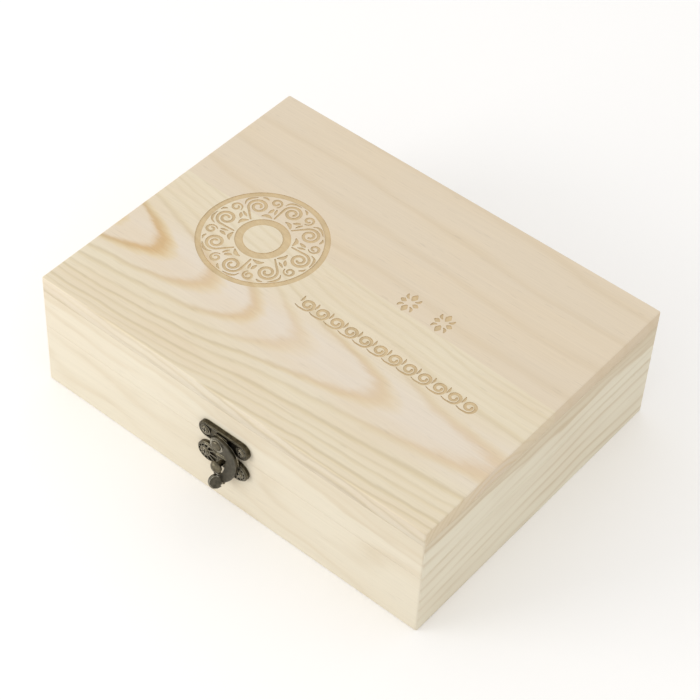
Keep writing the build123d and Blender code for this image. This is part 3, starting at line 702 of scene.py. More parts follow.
def engraved_board():
    """A board whose top gets pockets: three rows of strokes and two rings, cut to one depth.

    The board comes without its top. Everything is in millimetres until the last scaling.
    """
    sockets = {"Geometry": ("Geometry", None)}
    for row in ROWS:
        sockets |= {f"{row} {part.lower()}": kind for part, kind in STROKE_ROW.items()}
    for ring in RING_BANDS:
        sockets |= {f"{ring} from": ("Float", 1.0), f"{ring} to": ("Float", 2.0)}
    sockets |= {
        "Depth": ("Float", 0.3),
        "Top": ("Float", 1.0),
        "Wood": ("Material", None),
        "Engraved wood": ("Material", None),
    }
    tree, given, out = new_group("engraved board", sockets, SHAPE_OUT, "GeometryNodeTree")
    board, depth = given["Geometry"], given["Depth"]
    row_tree = stroke_row()
    marks = []
    for row in ROWS:
        sizes = {part: given[f"{row} {part.lower()}"] for part in STROKE_ROW}
        marks.append(add(tree, "GeometryNodeGroup", sizes, node_tree=row_tree))
    for ring in RING_BANDS:
        edges = []
        for end in ("from", "to"):
            circle = {"Resolution": BAND_POINTS, "Radius": given[f"{ring} {end}"]}
            edges.append(add(tree, "GeometryNodeCurvePrimitiveCircle", circle))
        both = add(tree, "GeometryNodeJoinGeometry", {"Geometry": edges})
        band = add(tree, "GeometryNodeFillCurve", {"Curve": both})
        placed = {"Geometry": band, "Translation": given["Medallion start"]}
        marks.append(add(tree, "GeometryNodeTransform", placed))
    drawn = add(tree, "GeometryNodeJoinGeometry", {"Geometry": marks})
    # The marks' open edges and the board's cut one sheet, whose gaps the pockets close.
    faces = add(tree, "GeometryNodeInputMeshEdgeNeighbors")
    rim = add(tree, "FunctionNodeCompare", {"A": faces, "B": 1}, data_type="INT", operation="EQUAL")
    outlines, border = (
        add(tree, "GeometryNodeMeshToCurve", {"Mesh": mesh, "Selection": rim}) for mesh in (drawn, board)
    )
    lines = add(tree, "GeometryNodeJoinGeometry", {"Geometry": [outlines, border]})
    flat = add(tree, "GeometryNodeFillCurve", {"Curve": lines})
    up = add(tree, "ShaderNodeCombineXYZ", {"Z": given["Top"]})
    sheet = add(tree, "GeometryNodeTransform", {"Geometry": flat, "Translation": up})
    low = add(tree, "ShaderNodeMath", {0: given["Top"], 1: depth}, operation="SUBTRACT")
    down = add(tree, "ShaderNodeCombineXYZ", {"Z": low})
    floors = add(tree, "GeometryNodeTransform", {"Geometry": drawn, "Translation": down})
    walls = {"Mesh": floors, "Selection": rim, "Offset": (0, 0, 1), "Offset Scale": depth}
    pockets = add(tree, "GeometryNodeExtrudeMesh", walls, mode="EDGES")
    mark = {"Geometry": pockets, "Name": "engraved", "Value": True}
    marked = add(tree, "GeometryNodeStoreNamedAttribute", mark, data_type="BOOLEAN", domain="FACE")
    top = add(tree, "GeometryNodeJoinGeometry", {"Geometry": [sheet, marked]})
    flat_top = add(tree, "GeometryNodeSetShadeSmooth", {"Geometry": top, "Shade Smooth": False})
    whole = add(tree, "GeometryNodeJoinGeometry", {"Geometry": [board, flat_top]})
    welded = add(tree, "GeometryNodeMergeByDistance", {"Geometry": whole, "Distance": 0.001})
    metres = add(tree, "GeometryNodeTransform", {"Geometry": welded, "Scale": (MM,) * 3})
    real = add(tree, "GeometryNodeRealizeInstances", {"Geometry": metres})
    wooden = add(tree, "GeometryNodeSetMaterial", {"Geometry": real, "Material": given["Wood"]})
    where = add(tree, "GeometryNodeInputNamedAttribute", {"Name": "engraved"}, data_type="BOOLEAN")
    scorched = {"Geometry": wooden, "Selection": where, "Material": given["Engraved wood"]}
    feed(tree, out, {"Geometry": add(tree, "GeometryNodeSetMaterial", scorched)})
    return tree


def board_shell():
    """The lid board in millimetres without its flat top: underside, sides and rounded top edge."""
    low, high = LID_LOW[2], LID_HIGH[2]
    levels = [(BOARD_CHAMFER, low), (0.0, low + BOARD_CHAMFER)]
    levels += [(inset, high - rise) for inset, rise in reversed(rounding(BOARD_ROUND, 6))]
    shape = bmesh.new()
    loops = [
        loop_of(shape, rounded_rectangle(WIDTH, DEPTH, BOARD_CORNER, inset, z)) for inset, z in levels
    ]
    skin(shape, loops)
    shape.faces.new(loops[0])
    mesh = bpy.data.meshes.new("lid board shell")
    shape.to_mesh(mesh)
    shape.free()
    return mesh


def engraved_pine(name, early, late):
    """Pine scorched by a laser: tan, a little darker where the beam turned, in fine rows along X."""
    made = lid_pine(name, early, early, late, late, early, early, late)
    tree = made.node_tree
    shader = next(node for node in tree.nodes if node.bl_idname == "ShaderNodeBsdfPrincipled")
    colour = shader.inputs["Base Color"].links[0].from_socket
    place = add(tree, "ShaderNodeTexCoord").outputs["Object"]
    across = add(tree, "ShaderNodeSeparateXYZ", {"Vector": place}).outputs["Y"]
    # The beam's rows are 0.1 mm apart, and drawn 0.5 mm apart.
    row = add(tree, "ShaderNodeMath", {0: across, 1: 2 * math.pi / (0.5 * MM)}, operation="MULTIPLY")
    wave = add(tree, "ShaderNodeMath", {0: row}, operation="SINE")
    patchy = add(tree, "ShaderNodeTexNoise", {"Vector": place, "Scale": 160.0, "Detail": 3.0})
    scorch = add(tree, "ShaderNodeMath", {0: wave, 1: 0.02, 2: patchy}, operation="MULTIPLY_ADD")
    span = {"Value": scorch, "From Min": 0.3, "From Max": 0.7, "To Min": 0.93, "To Max": 1.05}
    tone = add(tree, "ShaderNodeMapRange", span)
    toned = add(tree, "ShaderNodeVectorMath", {0: colour, "Scale": tone}, operation="SCALE")
    feed(tree, shader.inputs, {"Base Color": toned, "Specular IOR Level": 0.2})
    return made


# ---- Metal, foam, ribbon and clear plastic --------------------------------------------------
def antique_bronze(name, dark, light, worn_and_highlight, edge_wear_and_highlight):
    """Cast zinc alloy, bronze plated and darkened, then rubbed.

    That leaves it olive grey, pale on its edges (rubbed metal and painted highlight) and brown in its hollows
    (patina and painted shade).
    """
    made, tree, shader = new_material(name)
    _, mm = own_place(tree)
    blot = add(tree, "ShaderNodeTexNoise", {"Vector": mm, "Scale": 0.55, "Detail": 5.0, "Roughness": 0.65})
    grain = add(tree, "ShaderNodeTexNoise", {"Vector": mm, "Scale": 3.2, "Detail": 4.0, "Roughness": 0.6})
    true = add(tree, "ShaderNodeNewGeometry").outputs["Normal"]
    soft = add(tree, "ShaderNodeBevel", {"Radius": 0.9 * MM}, samples=8)
    alike = add(tree, "ShaderNodeVectorMath", {0: true, 1: soft}, operation="DOT_PRODUCT").outputs["Value"]
    edge = add(tree, "ShaderNodeMapRange", {"Value": alike, "From Min": 0.985, "From Max": 0.88})
    # Ambient occlusion browns the hollows: the patina left in them, deepened as painted shade.
    air = add(tree, "ShaderNodeAmbientOcclusion", {"Distance": 1.4 * MM}, samples=8, only_local=True)
    span = {"Value": air.outputs["AO"], "From Min": 0.9, "From Max": 0.45, "To Max": 0.85}
    hollow_patina_and_shade = add(tree, "ShaderNodeMapRange", span)
    # Rubbing reaches the raised edges and never the hollows. The pale rubbed edges are also a painted
    # highlight.
    span = {"Value": blot, "From Min": 0.2, "From Max": 0.5, "To Max": edge_wear_and_highlight}
    rubbed = add(tree, "ShaderNodeMapRange", span)
    reach = add(tree, "ShaderNodeMath", {0: 1.0, 1: hollow_patina_and_shade}, operation="SUBTRACT")
    bare = add(tree, "ShaderNodeMath", {0: edge, 1: rubbed}, operation="MULTIPLY", use_clamp=True)
    wear_and_highlight = add(tree, "ShaderNodeMath", {0: bare, 1: reach}, operation="MULTIPLY")
    spread = add(tree, "ShaderNodeMapRange", {"Value": blot, "From Min": 0.38, "From Max": 0.62})
    plated = add(tree, "ShaderNodeMix", {"Factor": spread, "A": dark, "B": light}, data_type="RGBA")
    # Hollows turn dark brown: patina and painted shade together.
    body = add(tree, "ShaderNodeMix", {"Factor": hollow_patina_and_shade, "A": plated, "B": "#33271C"}, data_type="RGBA")
    colour = add(tree, "ShaderNodeMix", {"Factor": wear_and_highlight, "A": body, "B": worn_and_highlight}, data_type="RGBA")
    span = {"Value": blot, "From Min": 0.3, "From Max": 0.7, "To Min": 0.3, "To Max": 0.46}
    gloss = add(tree, "ShaderNodeMapRange", span)
    bump = add(tree, "ShaderNodeBump", {"Height": grain, "Strength": 0.4, "Distance": 0.05 * MM})
    feed(tree, shader.inputs, {"Base Color": colour, "Roughness": gloss, "Normal": bump, "Metallic": 1.0})
    return made


def cut_foam(name, colour, speck, cell):
    """Knife-cut foam: matt, with tiny open cells that catch the light. Cell is their drawn size in mm."""
    made, tree, shader = new_material(name)
    _, mm = own_place(tree)
    cells = add(tree, "ShaderNodeTexVoronoi", {"Vector": mm, "Scale": 1 / cell}).outputs["Distance"]
    cloud = add(tree, "ShaderNodeTexNoise", {"Vector": mm, "Scale": 0.04, "Detail": 3.0})
    pit = add(tree, "ShaderNodeMapRange", {"Value": cells, "From Max": 0.7})
    tint = add(tree, "ShaderNodeMix", {"Factor": pit, "A": colour, "B": speck}, data_type="RGBA")
    span = {"Value": cloud, "From Min": 0.3, "From Max": 0.7, "To Min": 0.92, "To Max": 1.08}
    shade = add(tree, "ShaderNodeMapRange", span)
    toned = add(tree, "ShaderNodeVectorMath", {0: tint, "Scale": shade}, operation="SCALE")
    bump = add(tree, "ShaderNodeBump", {"Height": cells, "Strength": 0.6, "Distance": 0.15 * cell * MM})
    feed(
        tree,
        shader.inputs,
        {"Base Color": toned, "Normal": bump, "Roughness": 0.88, "Specular IOR Level": 0.25},
    )
    return made


def satin_ribbon(name, colour, light):
    """Polyester satin ribbon: glossy across its fine weft ribs, with streaks of painted sheen along it. Reads
    the piece's UV in mm.
    """
    made, tree, shader = new_material(name)
    lie = add(tree, "ShaderNodeUVMap", uv_map="weave")
    along = add(tree, "ShaderNodeSeparateXYZ", {"Vector": lie}).outputs["X"]
    # Weft threads lie 0.12 mm apart, and are drawn 0.4 mm apart.
    thread = add(tree, "ShaderNodeMath", {0: along, 1: 2 * math.pi / 0.4}, operation="MULTIPLY")
    rib = add(tree, "ShaderNodeMath", {0: thread}, operation="SINE")
    # Paler streaks along the ribbon are a painted sheen.
    sheen_streak = patches(tree, lie, (0.05, 3.0, 1.0), 3.0)
    sheen = add(tree, "ShaderNodeMapRange", {"Value": sheen_streak, "From Min": 0.35, "From Max": 0.65})
    tint = add(tree, "ShaderNodeMix", {"Factor": sheen, "A": colour, "B": light}, data_type="RGBA")
    bump = add(tree, "ShaderNodeBump", {"Height": rib, "Strength": 0.3, "Distance": 0.04 * MM})
    looks = {"Roughness": 0.36, "Anisotropic": 0.5, "Sheen Weight": 0.2}
    feed(tree, shader.inputs, {"Base Color": tint, "Normal": bump, **looks})
    return made


def clear_acrylic(name):
    """Injection-moulded acrylic: clear and glossy, with faint flow marks."""
    made, tree, shader = new_material(name)
    place = add(tree, "ShaderNodeTexCoord").outputs["Object"]
    flow = add(tree, "ShaderNodeTexNoise", {"Vector": place, "Scale": 60.0, "Detail": 2.0})
    span = {"Value": flow, "From Min": 0.3, "From Max": 0.7, "To Min": 0.02, "To Max": 0.07}
    gloss = add(tree, "ShaderNodeMapRange", span)
    bump = add(tree, "ShaderNodeBump", {"Height": flow, "Strength": 0.05, "Distance": 0.05 * MM})
    looks = {"Base Color": "#F4F8F8", "IOR": 1.49, "Transmission Weight": 1.0}
    feed(tree, shader.inputs, {"Roughness": gloss, "Normal": bump, **looks})
    return made


# ---- Foam and ribbon shapes -----------------------------------------------------------------
def well_outline(x, y, grow, z):
    """A round well's outline with its thumb notch on the slant towards the tray's middle."""
    towards = math.atan2(-math.copysign(1, y), -math.copysign(1, x))
    points = []
    for i in range(WELL_POINTS):
        a = 2 * math.pi * i / WELL_POINTS
        off = (NOTCH_OUT * math.sin(a)) ** 2
        reach = WELL_R
        if off < NOTCH_R**2 and math.cos(a) > 0:
            reach = max(WELL_R, NOTCH_OUT * math.cos(a) + math.sqrt(NOTCH_R**2 - off))
        reach += grow
        points.append((x + reach * math.cos(a + towards), y + reach * math.sin(a + towards), z))
    return points


def foam_tray(name, low, high, floor, material):
    """A foam sheet with round wells whose rims and outer edges are soft."""
    shape = bmesh.new()
    edge = rounding(FOAM_SOFT)
    levels = [(inset, low + rise) for inset, rise in edge]
    levels += [(inset, high - rise) for inset, rise in reversed(edge)]
    outer = [
        loop_of(shape, rounded_rectangle(FOAM_W, FOAM_D, FOAM_CORNER, inset, z)) for inset, z in levels
    ]
    skin(shape, outer)
    shape.faces.new(outer[0])
    rims = [outer[-1]]
    for x, y in WELLS:
        depths = [*((inset, high - rise) for inset, rise in edge), (0, floor)]
        loops = [loop_of(shape, well_outline(x, y, grow, z)) for grow, z in depths]
        skin(shape, loops)
        shape.faces.new(loops[-1])
        rims.append(loops[0])
    edges = []
    for rim in rims:
        edges += [shape.edges.get((rim[i], rim[i - 1])) for i in range(len(rim))]
    bmesh.ops.triangle_fill(shape, use_beauty=True, use_dissolve=False, edges=edges)
    return mesh_object(name, shape, material)


def lid_pad(name, low, high, material):
    """A foam pad glued into the lid, with a crowned face and sides that pull in a little."""
    levels = [(0.2, high), (0.0, high - 1.0)]
    for share in (0.3, 0.6, 0.85):
        levels.append((0.5 * math.sin(math.pi * share), high - (high - low) * share * 0.9))
    levels += [(inset, low + PAD_CROWN + rise) for inset, rise in reversed(rounding(PAD_ROUND))]
    for inset in PAD_INSETS:
        levels.append((inset, low + PAD_CROWN * math.exp(-(inset - PAD_ROUND) / PAD_FALL)))
    shape = bmesh.new()
    loops = [
        loop_of(shape, rounded_rectangle(FOAM_W, FOAM_D, FOAM_CORNER, inset, z, 9)) for inset, z in levels
    ]
    skin(shape, loops)
    shape.faces.new(loops[0])
    shape.faces.new(loops[-1])
    return mesh_object(name, shape, material)


def gasket_grid():
    """Soft-edged rings in rows and columns."""
    tree, given, out = new_group(
        "grid of gasket rings",
        {
            "Geometry": ("Geometry", None),
            "Columns": ("Int", WELL_COLUMNS),
            "Rows": ("Int", WELL_ROWS),
            "Spread": ("Vector", None),
            "Bore": ("Float", GASKET_BORE),
            "Outside": ("Float", 23.0),
            "High": ("Float", 3.0),
            "Soft": ("Float", GASKET_SOFT),
            "Base": ("Float", 0.0),
            "Foam": ("Material", None),
        },
        SHAPE_OUT,
        "GeometryNodeTree",
    )
    bore, outside, high = given["Bore"], given["Outside"], given["High"]
    both = add(tree, "ShaderNodeMath", {0: bore, 1: outside}, operation="ADD")
    middle = add(tree, "ShaderNodeMath", {0: both, 1: 0.5}, operation="MULTIPLY")
    wide = add(tree, "ShaderNodeMath", {0: outside, 1: bore}, operation="SUBTRACT")
    line = add(tree, "GeometryNodeCurvePrimitiveCircle", {"Resolution": GASKET_POINTS, "Radius": middle})
    section = add(tree, "GeometryNodeCurvePrimitiveQuadrilateral", {"Width": wide, "Height": high})
    corner = {"Curve": section, "Radius": given["Soft"], "Count": 3}
    eased = add(tree, "GeometryNodeFilletCurve", corner, mode="POLY")
    ring = add(tree, "GeometryNodeCurveToMesh", {"Curve": line, "Profile Curve": eased, "Fill Caps": False})
    size = add(tree, "ShaderNodeSeparateXYZ", {"Vector": given["Spread"]}).outputs
    counts = {"Vertices X": given["Columns"], "Vertices Y": given["Rows"]}
    grid = {"Size X": size["X"], "Size Y": size["Y"], **counts}
    places = add(tree, "GeometryNodeMeshGrid", grid)
    rings = add(tree, "GeometryNodeInstanceOnPoints", {"Points": places, "Instance": ring})
    lift = add(tree, "ShaderNodeMath", {0: high, 1: 0.5, 2: given["Base"]}, operation="MULTIPLY_ADD")
    up = add(tree, "ShaderNodeCombineXYZ", {"Z": lift})
    raised = add(tree, "GeometryNodeTransform", {"Geometry": rings, "Translation": up})
    metres = add(tree, "GeometryNodeTransform", {"Geometry": raised, "Scale": (MM,) * 3})
    real = add(tree, "GeometryNodeRealizeInstances", {"Geometry": metres})
    done = add(tree, "GeometryNodeSetMaterial", {"Geometry": real, "Material": given["Foam"]})
    feed(tree, out, {"Geometry": done})
    return tree


def ribbon_line():
    """The ribbon's middle line in the XZ plane, from one free end to the other."""
    low = TRAY_LOW[2] - RIBBON_T / 2
    high = TRAY_HIGH[2] + RIBBON_T / 2
    side = FOAM_W / 2 + RIBBON_T / 2
    bent = side - RIBBON_BEND
    tab = bent - (FOAM_W / 2 + RIBBON_T - RIBBON_TAB)
    half = [(0.0, low), (side * 0.5, low)]
    for start, z in ((-90, low + RIBBON_BEND), (0, high - RIBBON_BEND)):
        for turn in range(start, start + 91, 30):
            a = math.radians(turn)
            half.append((bent + RIBBON_BEND * math.cos(a), z + RIBBON_BEND * math.sin(a)))
    for share in (0.3, 0.6, 0.85, 1.0):
        half.append((bent - tab * share, high + RIBBON_CURL * share**2))
    return [(-x, z) for x, z in reversed(half[1:])] + half


# Places across the ribbon, and half its thickness there: its woven edges are thicker.
RIBBON_HALF = ((-6.0, 0.07), (-5.75, 0.14), (-5.4, 0.15), (-5.1, 0.09))


def woven_ribbon(name, middle_y, material):
    """A ribbon with thicker woven edges, which follows its line at one place along Y."""
    line = ribbon_line()
    shape = bmesh.new()
    weave = shape.loops.layers.uv.new("weave")
    section = [*RIBBON_HALF, *((-y, t) for y, t in reversed(RIBBON_HALF))]
    outline = section + [(y, -t) for y, t in reversed(section)]
    loops, run = [], [0.0]
    for i, (x, z) in enumerate(line):
        before, after = line[max(i - 1, 0)], line[min(i + 1, len(line) - 1)]
        along = Vector((after[0] - before[0], after[1] - before[1])).normalized()
        out = Vector((along.y, -along.x))
        loops.append(loop_of(shape, [(x + out.x * t, middle_y + y, z + out.y * t) for y, t in outline]))
        if i:
            run.append(run[-1] + math.dist(line[i - 1], line[i]))
    skin(shape, loops)
    shape.faces.new(loops[0])
    shape.faces.new(loops[-1])
    station = {vert: (run[i], outline[k][0]) for i, ring in enumerate(loops) for k, vert in enumerate(ring)}
    for face in shape.faces:
        for corner in face.loops:
            corner[weave].uv = station[corner.vert]
    return mesh_object(name, shape, material), run[-1]


# ---- Settings -------------------------------------------------------------------------------
COLOUR = {"subtype": "COLOR", "size": 4}
PLACE = {"subtype": "TRANSLATION", "unit": "LENGTH"}


class CaseStageSettings(bpy.types.PropertyGroup):
    """Camera, floor and lights."""

    camera_place: FloatVectorProperty(
        name="Camera place",
        description="Where the camera stands",
        default=(0.44981, -0.58942, 0.82609),
        **PLACE,
    )
    camera_turn: FloatVectorProperty(
        name="Camera turn",
        description="Camera rotation about X, Y and Z",
        default=tuple(math.radians(a) for a in (43.0099, -2.3293, 39.7741)),
        subtype="EULER",
        unit="ROTATION",
    )
    lens: FloatProperty(
        name="Lens", description="Focal length in mm on a 36 mm sensor", default=111.436, min=20
    )
    floor_colour: FloatVectorProperty(
        name="Floor", description="Colour of the floor", default=linear("#FCFBFA"), **COLOUR
    )
    sky: FloatProperty(
        name="Fill light", description="Strength of the even light from all round", default=0.97, min=0
    )
    key: FloatProperty(
        name="Key light",
        description="Power of the soft light at front left",
        default=3.7,
        min=0,
        unit="POWER",
    )


class CaseWoodSettings(bpy.types.PropertyGroup):
    """Colours of the boards."""

    long_pale: FloatVectorProperty(
        name="Front and back",
        description="Colour of the long walls between their rings",
        default=linear("#D9D0BC"),
        **COLOUR,
    )
    short_pale: FloatVectorProperty(
        name="Left and right",
        description="Colour of the short walls between their rings",
        default=linear("#DED6C1"),
        **COLOUR,
    )
    wall_line: FloatVectorProperty(
        name="Wall rings", description="Colour of the rings in the walls", default=linear("#C0AC8B"), **COLOUR
    )


class CaseEngravingSettings(bpy.types.PropertyGroup):
    """Sizes of the ornament on the lid."""

    depth: FloatProperty(
        name="Depth", description="How deep the ornament is cut", default=0.3 * MM, min=0.0001, unit="LENGTH"
    )
    place: FloatVectorProperty(
        name="Ring's middle",
        description="Where the ring of scrolls lies on the lid",
        default=(-57.6 * MM, 0, 0),
        **PLACE,
    )
    scrolls: IntProperty(name="Scrolls", description="How many scrolls go round the ring", default=8, min=3)
    curls: IntProperty(name="Curls", description="How many curls the border has", default=12, min=1)


class CaseClaspSettings(bpy.types.PropertyGroup):
    """Finish of the clasp and hinges."""

    # Edge wear also sets how strongly the edges carry a pale painted highlight.
    edge_wear_and_highlight: FloatProperty(
        name="Edge wear",
        description="How much of the dark plating is rubbed off the edges",
        default=1.0,
        min=0,
        max=1,
        subtype="FACTOR",
    )


class CaseInsideSettings(bpy.types.PropertyGroup):
    """Finish of the foam, ribbons and capsules."""

    foam: FloatVectorProperty(
        name="Foam",
        description="Colour of the trays and of the lid pad",
        default=linear("#27282A"),
        **COLOUR,
    )
    ribbon: FloatVectorProperty(
        name="Ribbon", description="Colour of the lifting ribbons", default=linear("#6E0F1C"), **COLOUR
    )


# ---- Operators ------------------------------------------------------------------------------
class CASE_OT_stage(bpy.types.Operator):
    """Make the floor, the soft lights and the camera"""

    bl_idname = "case.stage"
    bl_label = "Stage"

    def execute(self, context):
        settings = context.scene.case_stage
        camera = linked("camera", bpy.data.cameras.new("camera"))
        camera.data.sensor_width = SENSOR_MM
        camera.data.lens = settings.lens
        camera.location = settings.camera_place
        camera.rotation_euler = settings.camera_turn
        context.scene.camera = camera

        # Painted board: plain and matt, so that only the contact shadow shows on it.
        paint, tree, shader = new_material("matt painted floor board")
        place = add(tree, "ShaderNodeTexCoord").outputs["Object"]
        speck = add(tree, "ShaderNodeTexNoise", {"Vector": place, "Scale": 900.0, "Detail": 2.0})
        bump = add(tree, "ShaderNodeBump", {"Height": speck, "Strength": 0.05, "Distance": 0.02 * MM})
        feed(
            tree,
            shader.inputs,
            {"Base Color": settings.floor_colour, "Roughness": 0.9, "Normal": bump},
        )
        mesh = bpy.data.meshes.new("floor")
        corners = [(FLOOR_HALF * x, FLOOR_HALF * y, 0) for x, y in ((-1, -1), (1, -1), (1, 1), (-1, 1))]
        mesh.from_pydata(corners, [], [(0, 1, 2, 3)])
        mesh.materials.append(paint)
        floor = linked("floor", mesh)

        world = bpy.data.worlds.new("studio")
        world.use_nodes = True
        world.node_tree.nodes.clear()
        light = {"Color": (1.0, 0.995, 0.985, 1.0), "Strength": settings.sky}
        glow = add(world.node_tree, "ShaderNodeBackground", light)
        add(world.node_tree, "ShaderNodeOutputWorld", {"Surface": glow})
        context.scene.world = world

        lamp = bpy.data.lights.new("key", "AREA")
        lamp.energy = settings.key
        lamp.size = KEY_SIZE
        key = linked("key", lamp)
        key.location = KEY_PLACE
        key.rotation_euler = (-Vector(KEY_PLACE)).to_track_quat("-Z", "Y").to_euler()
        context.scene.view_settings.view_transform = "Standard"
        return {"FINISHED"}


class CASE_OT_walls(bpy.types.Operator):
    """Dress the walls of the base and of the lid, and the bottom panel"""

    bl_idname = "case.walls"
    bl_label = "Walls"

    def execute(self, context):
        settings = context.scene.case_wood
        # Each wood: turned, pith, ring spacing, taper, line, early, late, blush and heartwood.
        line = settings.wall_line
        long_look = (False, (0, 260, -40), 4.2, 0.02, 0.16, settings.long_pale, line, "#D6CAB4", 0.5)
        short_look = (True, (0, -60, 210), 8.0, 0.03, 0.3, settings.short_pale, line, "#D6CAB3", 1.0)
        ply_look = (False, (0, 30, -900), 22.0, 0.3, 0.3, "#D2BF9F", "#BFA67E", "#CEB793", 0.0)
        long_pine = wall_pine("sawn pine, long walls", *long_look)
        short_pine = wall_pine("sawn pine, short walls", *short_look)
        for half in ("base", "lid"):
            dress(long_pine, f"{half}_front_wall", f"{half}_back_wall")
            dress(short_pine, f"{half}_right_wall", f"{half}_left_wall")
        # Peeled birch veneer has hardly any lines: it is even, and browner than the sawn walls.
        dress(wall_pine("rotary-cut birch plywood", *ply_look), "base_bottom_panel")
        return {"FINISHED"}


class CASE_OT_lid_board(bpy.types.Operator):
    """Make the lid's board with its engraved ornament"""

    bl_idname = "case.lid_board"
    bl_label = "Engraved lid"

    def execute(self, context):
        settings = context.scene.case_engraving
        colours = ("#E0D4C3", "#E1D5BC", "#CDAA78", "#BFAF8E", "#DECCB0", "#DCCDB6", "#C9B390")
        wood = lid_pine("edge-glued pine, lid", *colours)
        burnt = engraved_pine("laser-engraved pine", "#D0B992", "#C4AA80")
        shapes = (medallion_strokes(), border_strokes(), flower_strokes())
        strokes = {
            f"{row} strokes": stroke_curves(f"{row.lower()} strokes", shape)
            for row, shape in zip(ROWS, shapes)
        }
        bands = {
            f"{ring} {end}": radius
            for ring, radii in RING_BANDS.items()
            for end, radius in zip(("from", "to"), radii)
        }
        values = {
            "Medallion copies": settings.scrolls,
            "Medallion start": [part / MM for part in settings.place],
            "Medallion turn": -2 * math.pi / settings.scrolls,
            "Border copies": settings.curls,
            "Border start": BORDER_START,
            "Border step": (BORDER_PITCH, 0, 0),
            "Flower copies": FLOWERS,
            "Flower start": FLOWER_START,
            "Flower step": (FLOWER_PITCH, 0, 0),
            "Depth": settings.depth / MM,
            "Top": LID_HIGH[2],
            "Wood": wood,
            "Engraved wood": burnt,
            **bands,
            **strokes,
        }
        board = grown("lid_board", engraved_board(), values, board_shell())
        for curve in strokes.values():
            bpy.data.objects.remove(curve)
        check_closed(board)
        finish_piece(board, "lid", "lid_top_panel")
        return {"FINISHED"}


class CASE_OT_clasp(bpy.types.Operator):
    """Finish the clasp: plates, hook, rivet, stud and screws"""

    bl_idname = "case.clasp"
    bl_label = "Clasp"

    def execute(self, context):
        wear_and_highlight = context.scene.case_clasp.edge_wear_and_highlight
        # Each bronze's last colour is that of its rubbed edges, pale enough to be a painted highlight too.
        plates = antique_bronze("antique bronze, cast plates", "#3B372C", "#5C5544", "#CFC8B3", 0.5 * wear_and_highlight)
        hook = antique_bronze("antique bronze, cast hook", "#48453B", "#605B4F", "#E0DAC8", wear_and_highlight)
        screws = antique_bronze("antique bronze, turned screws", "#585243", "#7A725F", "#E2DBC8", 0.7 * wear_and_highlight)
        dress(plates, "clasp_plate", "catch_plate")
        dress(hook, "clasp_hook")
        dress(screws, "clasp_rivet", "catch_stud", "clasp_plate_screws", "catch_plate_screws")
        return {"FINISHED"}


class CASE_OT_hinges(bpy.types.Operator):
    """Finish the two butt hinges and their screws"""

    bl_idname = "case.hinges"
    bl_label = "Hinges"

    def execute(self, context):
        wear_and_highlight = context.scene.case_clasp.edge_wear_and_highlight
        # The last colour is that of the rubbed edges, which is also a painted highlight.
        leaf = antique_bronze("antique bronze, stamped hinges", "#504B3E", "#665F50", "#AFA793", 0.7 * wear_and_highlight)
        for side in ("left", "right"):
            dress(leaf, f"hinge_{side}_base_leaf", f"hinge_{side}_lid_leaf", f"hinge_{side}_pin")
        dress(leaf, "hinge_base_screws", "hinge_lid_screws")
        return {"FINISHED"}


class CASE_OT_trays(bpy.types.Operator):
    """Make the two foam trays, the lid pad and the lifting ribbons"""

    bl_idname = "case.trays"
    bl_label = "Trays, pad and ribbons"

    def execute(self, context):
        settings = context.scene.case_inside
        sheet_foam = cut_foam("knife-cut EVA foam", settings.foam, "#3A3B3D", 0.9)
        soft_foam = cut_foam("open-cell foam pad", settings.foam, "#434447", 1.3)
        for level in ("lower", "upper"):
            low, high = box_mm(f"foam_tray_{level}")
            floor = box_mm(f"capsule_cups_{level}")[0][2]
            tray = foam_tray(f"tray_{level}", low[2], high[2], floor, sheet_foam)
            finish_piece(tray, "base", f"foam_tray_{level}")
        low, high = box_mm("lid_foam_pad")
        pad = lid_pad("lid_pad", low[2], high[2], soft_foam)
        finish_piece(pad, "lid", "lid_foam_pad")
        # The second colour is the ribbon's painted sheen.
        satin = satin_ribbon("woven satin ribbon", settings.ribbon, "#9A2A35")
        for place in ("front", "back"):
            low, high = box_mm(f"tray_ribbon_{place}")
            ribbon, long = woven_ribbon(f"ribbon_{place}", (low[1] + high[1]) / 2, satin)
            finish_piece(ribbon, "base", f"tray_ribbon_{place}")
        return {"FINISHED"}


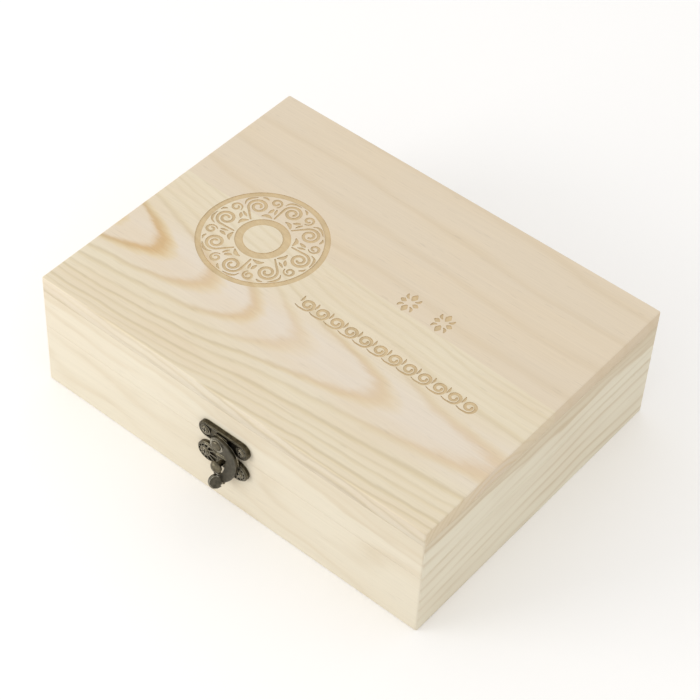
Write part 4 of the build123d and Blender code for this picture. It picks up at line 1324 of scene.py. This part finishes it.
class CASE_OT_capsules(bpy.types.Operator):
    """Finish the clear coin capsules and make their gasket rings"""

    bl_idname = "case.capsules"
    bl_label = "Coin capsules"

    def execute(self, context):
        acrylic = clear_acrylic("moulded acrylic")
        white = cut_foam("die-cut white EVA foam", "#E9E8E3", "#D9D8D2", 0.8)
        for level in ("lower", "upper"):
            dress(acrylic, f"capsule_cups_{level}", f"capsule_covers_{level}")
            low, high = box_mm(f"gasket_rings_{level}")
            values = {
                "Columns": WELL_COLUMNS,
                "Rows": WELL_ROWS,
                "Spread": WELL_SPREAD,
                "Bore": GASKET_BORE,
                "Outside": (high[0] - low[0] - WELL_SPREAD[0]) / 2,
                "High": high[2] - low[2],
                "Soft": GASKET_SOFT,
                "Base": low[2],
                "Foam": white,
            }
            rings = grown(f"gaskets_{level}", gasket_grid(), values)
            check_closed(rings)
            finish_piece(rings, "base", f"gasket_rings_{level}")
        return {"FINISHED"}


class CASE_PT_case(bpy.types.Panel):
    """The case's pieces in the sidebar of the 3D view"""

    bl_label = "Coin display case"
    bl_idname = "CASE_PT_case"
    bl_space_type = "VIEW_3D"
    bl_region_type = "UI"
    bl_category = "Case"

    def draw(self, context):
        for operator, group in STEPS:
            column = self.layout.column(align=True)
            column.operator(operator.bl_idname)
            settings = getattr(context.scene, group)
            for name in settings.bl_rna.properties.keys():
                if name not in ("rna_type", "name"):
                    column.prop(settings, name)


SETTINGS = {
    "case_stage": CaseStageSettings,
    "case_wood": CaseWoodSettings,
    "case_engraving": CaseEngravingSettings,
    "case_clasp": CaseClaspSettings,
    "case_inside": CaseInsideSettings,
}
STEPS = (
    (CASE_OT_stage, "case_stage"),
    (CASE_OT_walls, "case_wood"),
    (CASE_OT_lid_board, "case_engraving"),
    (CASE_OT_clasp, "case_clasp"),
    (CASE_OT_hinges, "case_clasp"),
    (CASE_OT_trays, "case_inside"),
    (CASE_OT_capsules, "case_inside"),
)
CLASSES = (*SETTINGS.values(), *(step[0] for step in STEPS), CASE_PT_case)


def register():
    for cls in CLASSES:
        bpy.utils.register_class(cls)
    for name, cls in SETTINGS.items():
        setattr(bpy.types.Scene, name, PointerProperty(type=cls))


def unregister():
    for name in SETTINGS:
        delattr(bpy.types.Scene, name)
    for cls in reversed(CLASSES):
        bpy.utils.unregister_class(cls)


def main():
    """Make every piece."""
    register()
    bpy.ops.case.stage()
    bpy.ops.case.walls()
    bpy.ops.case.lid_board()
    bpy.ops.case.clasp()
    bpy.ops.case.hinges()
    bpy.ops.case.trays()
    bpy.ops.case.capsules()


if __name__ == "__main__":
    main()
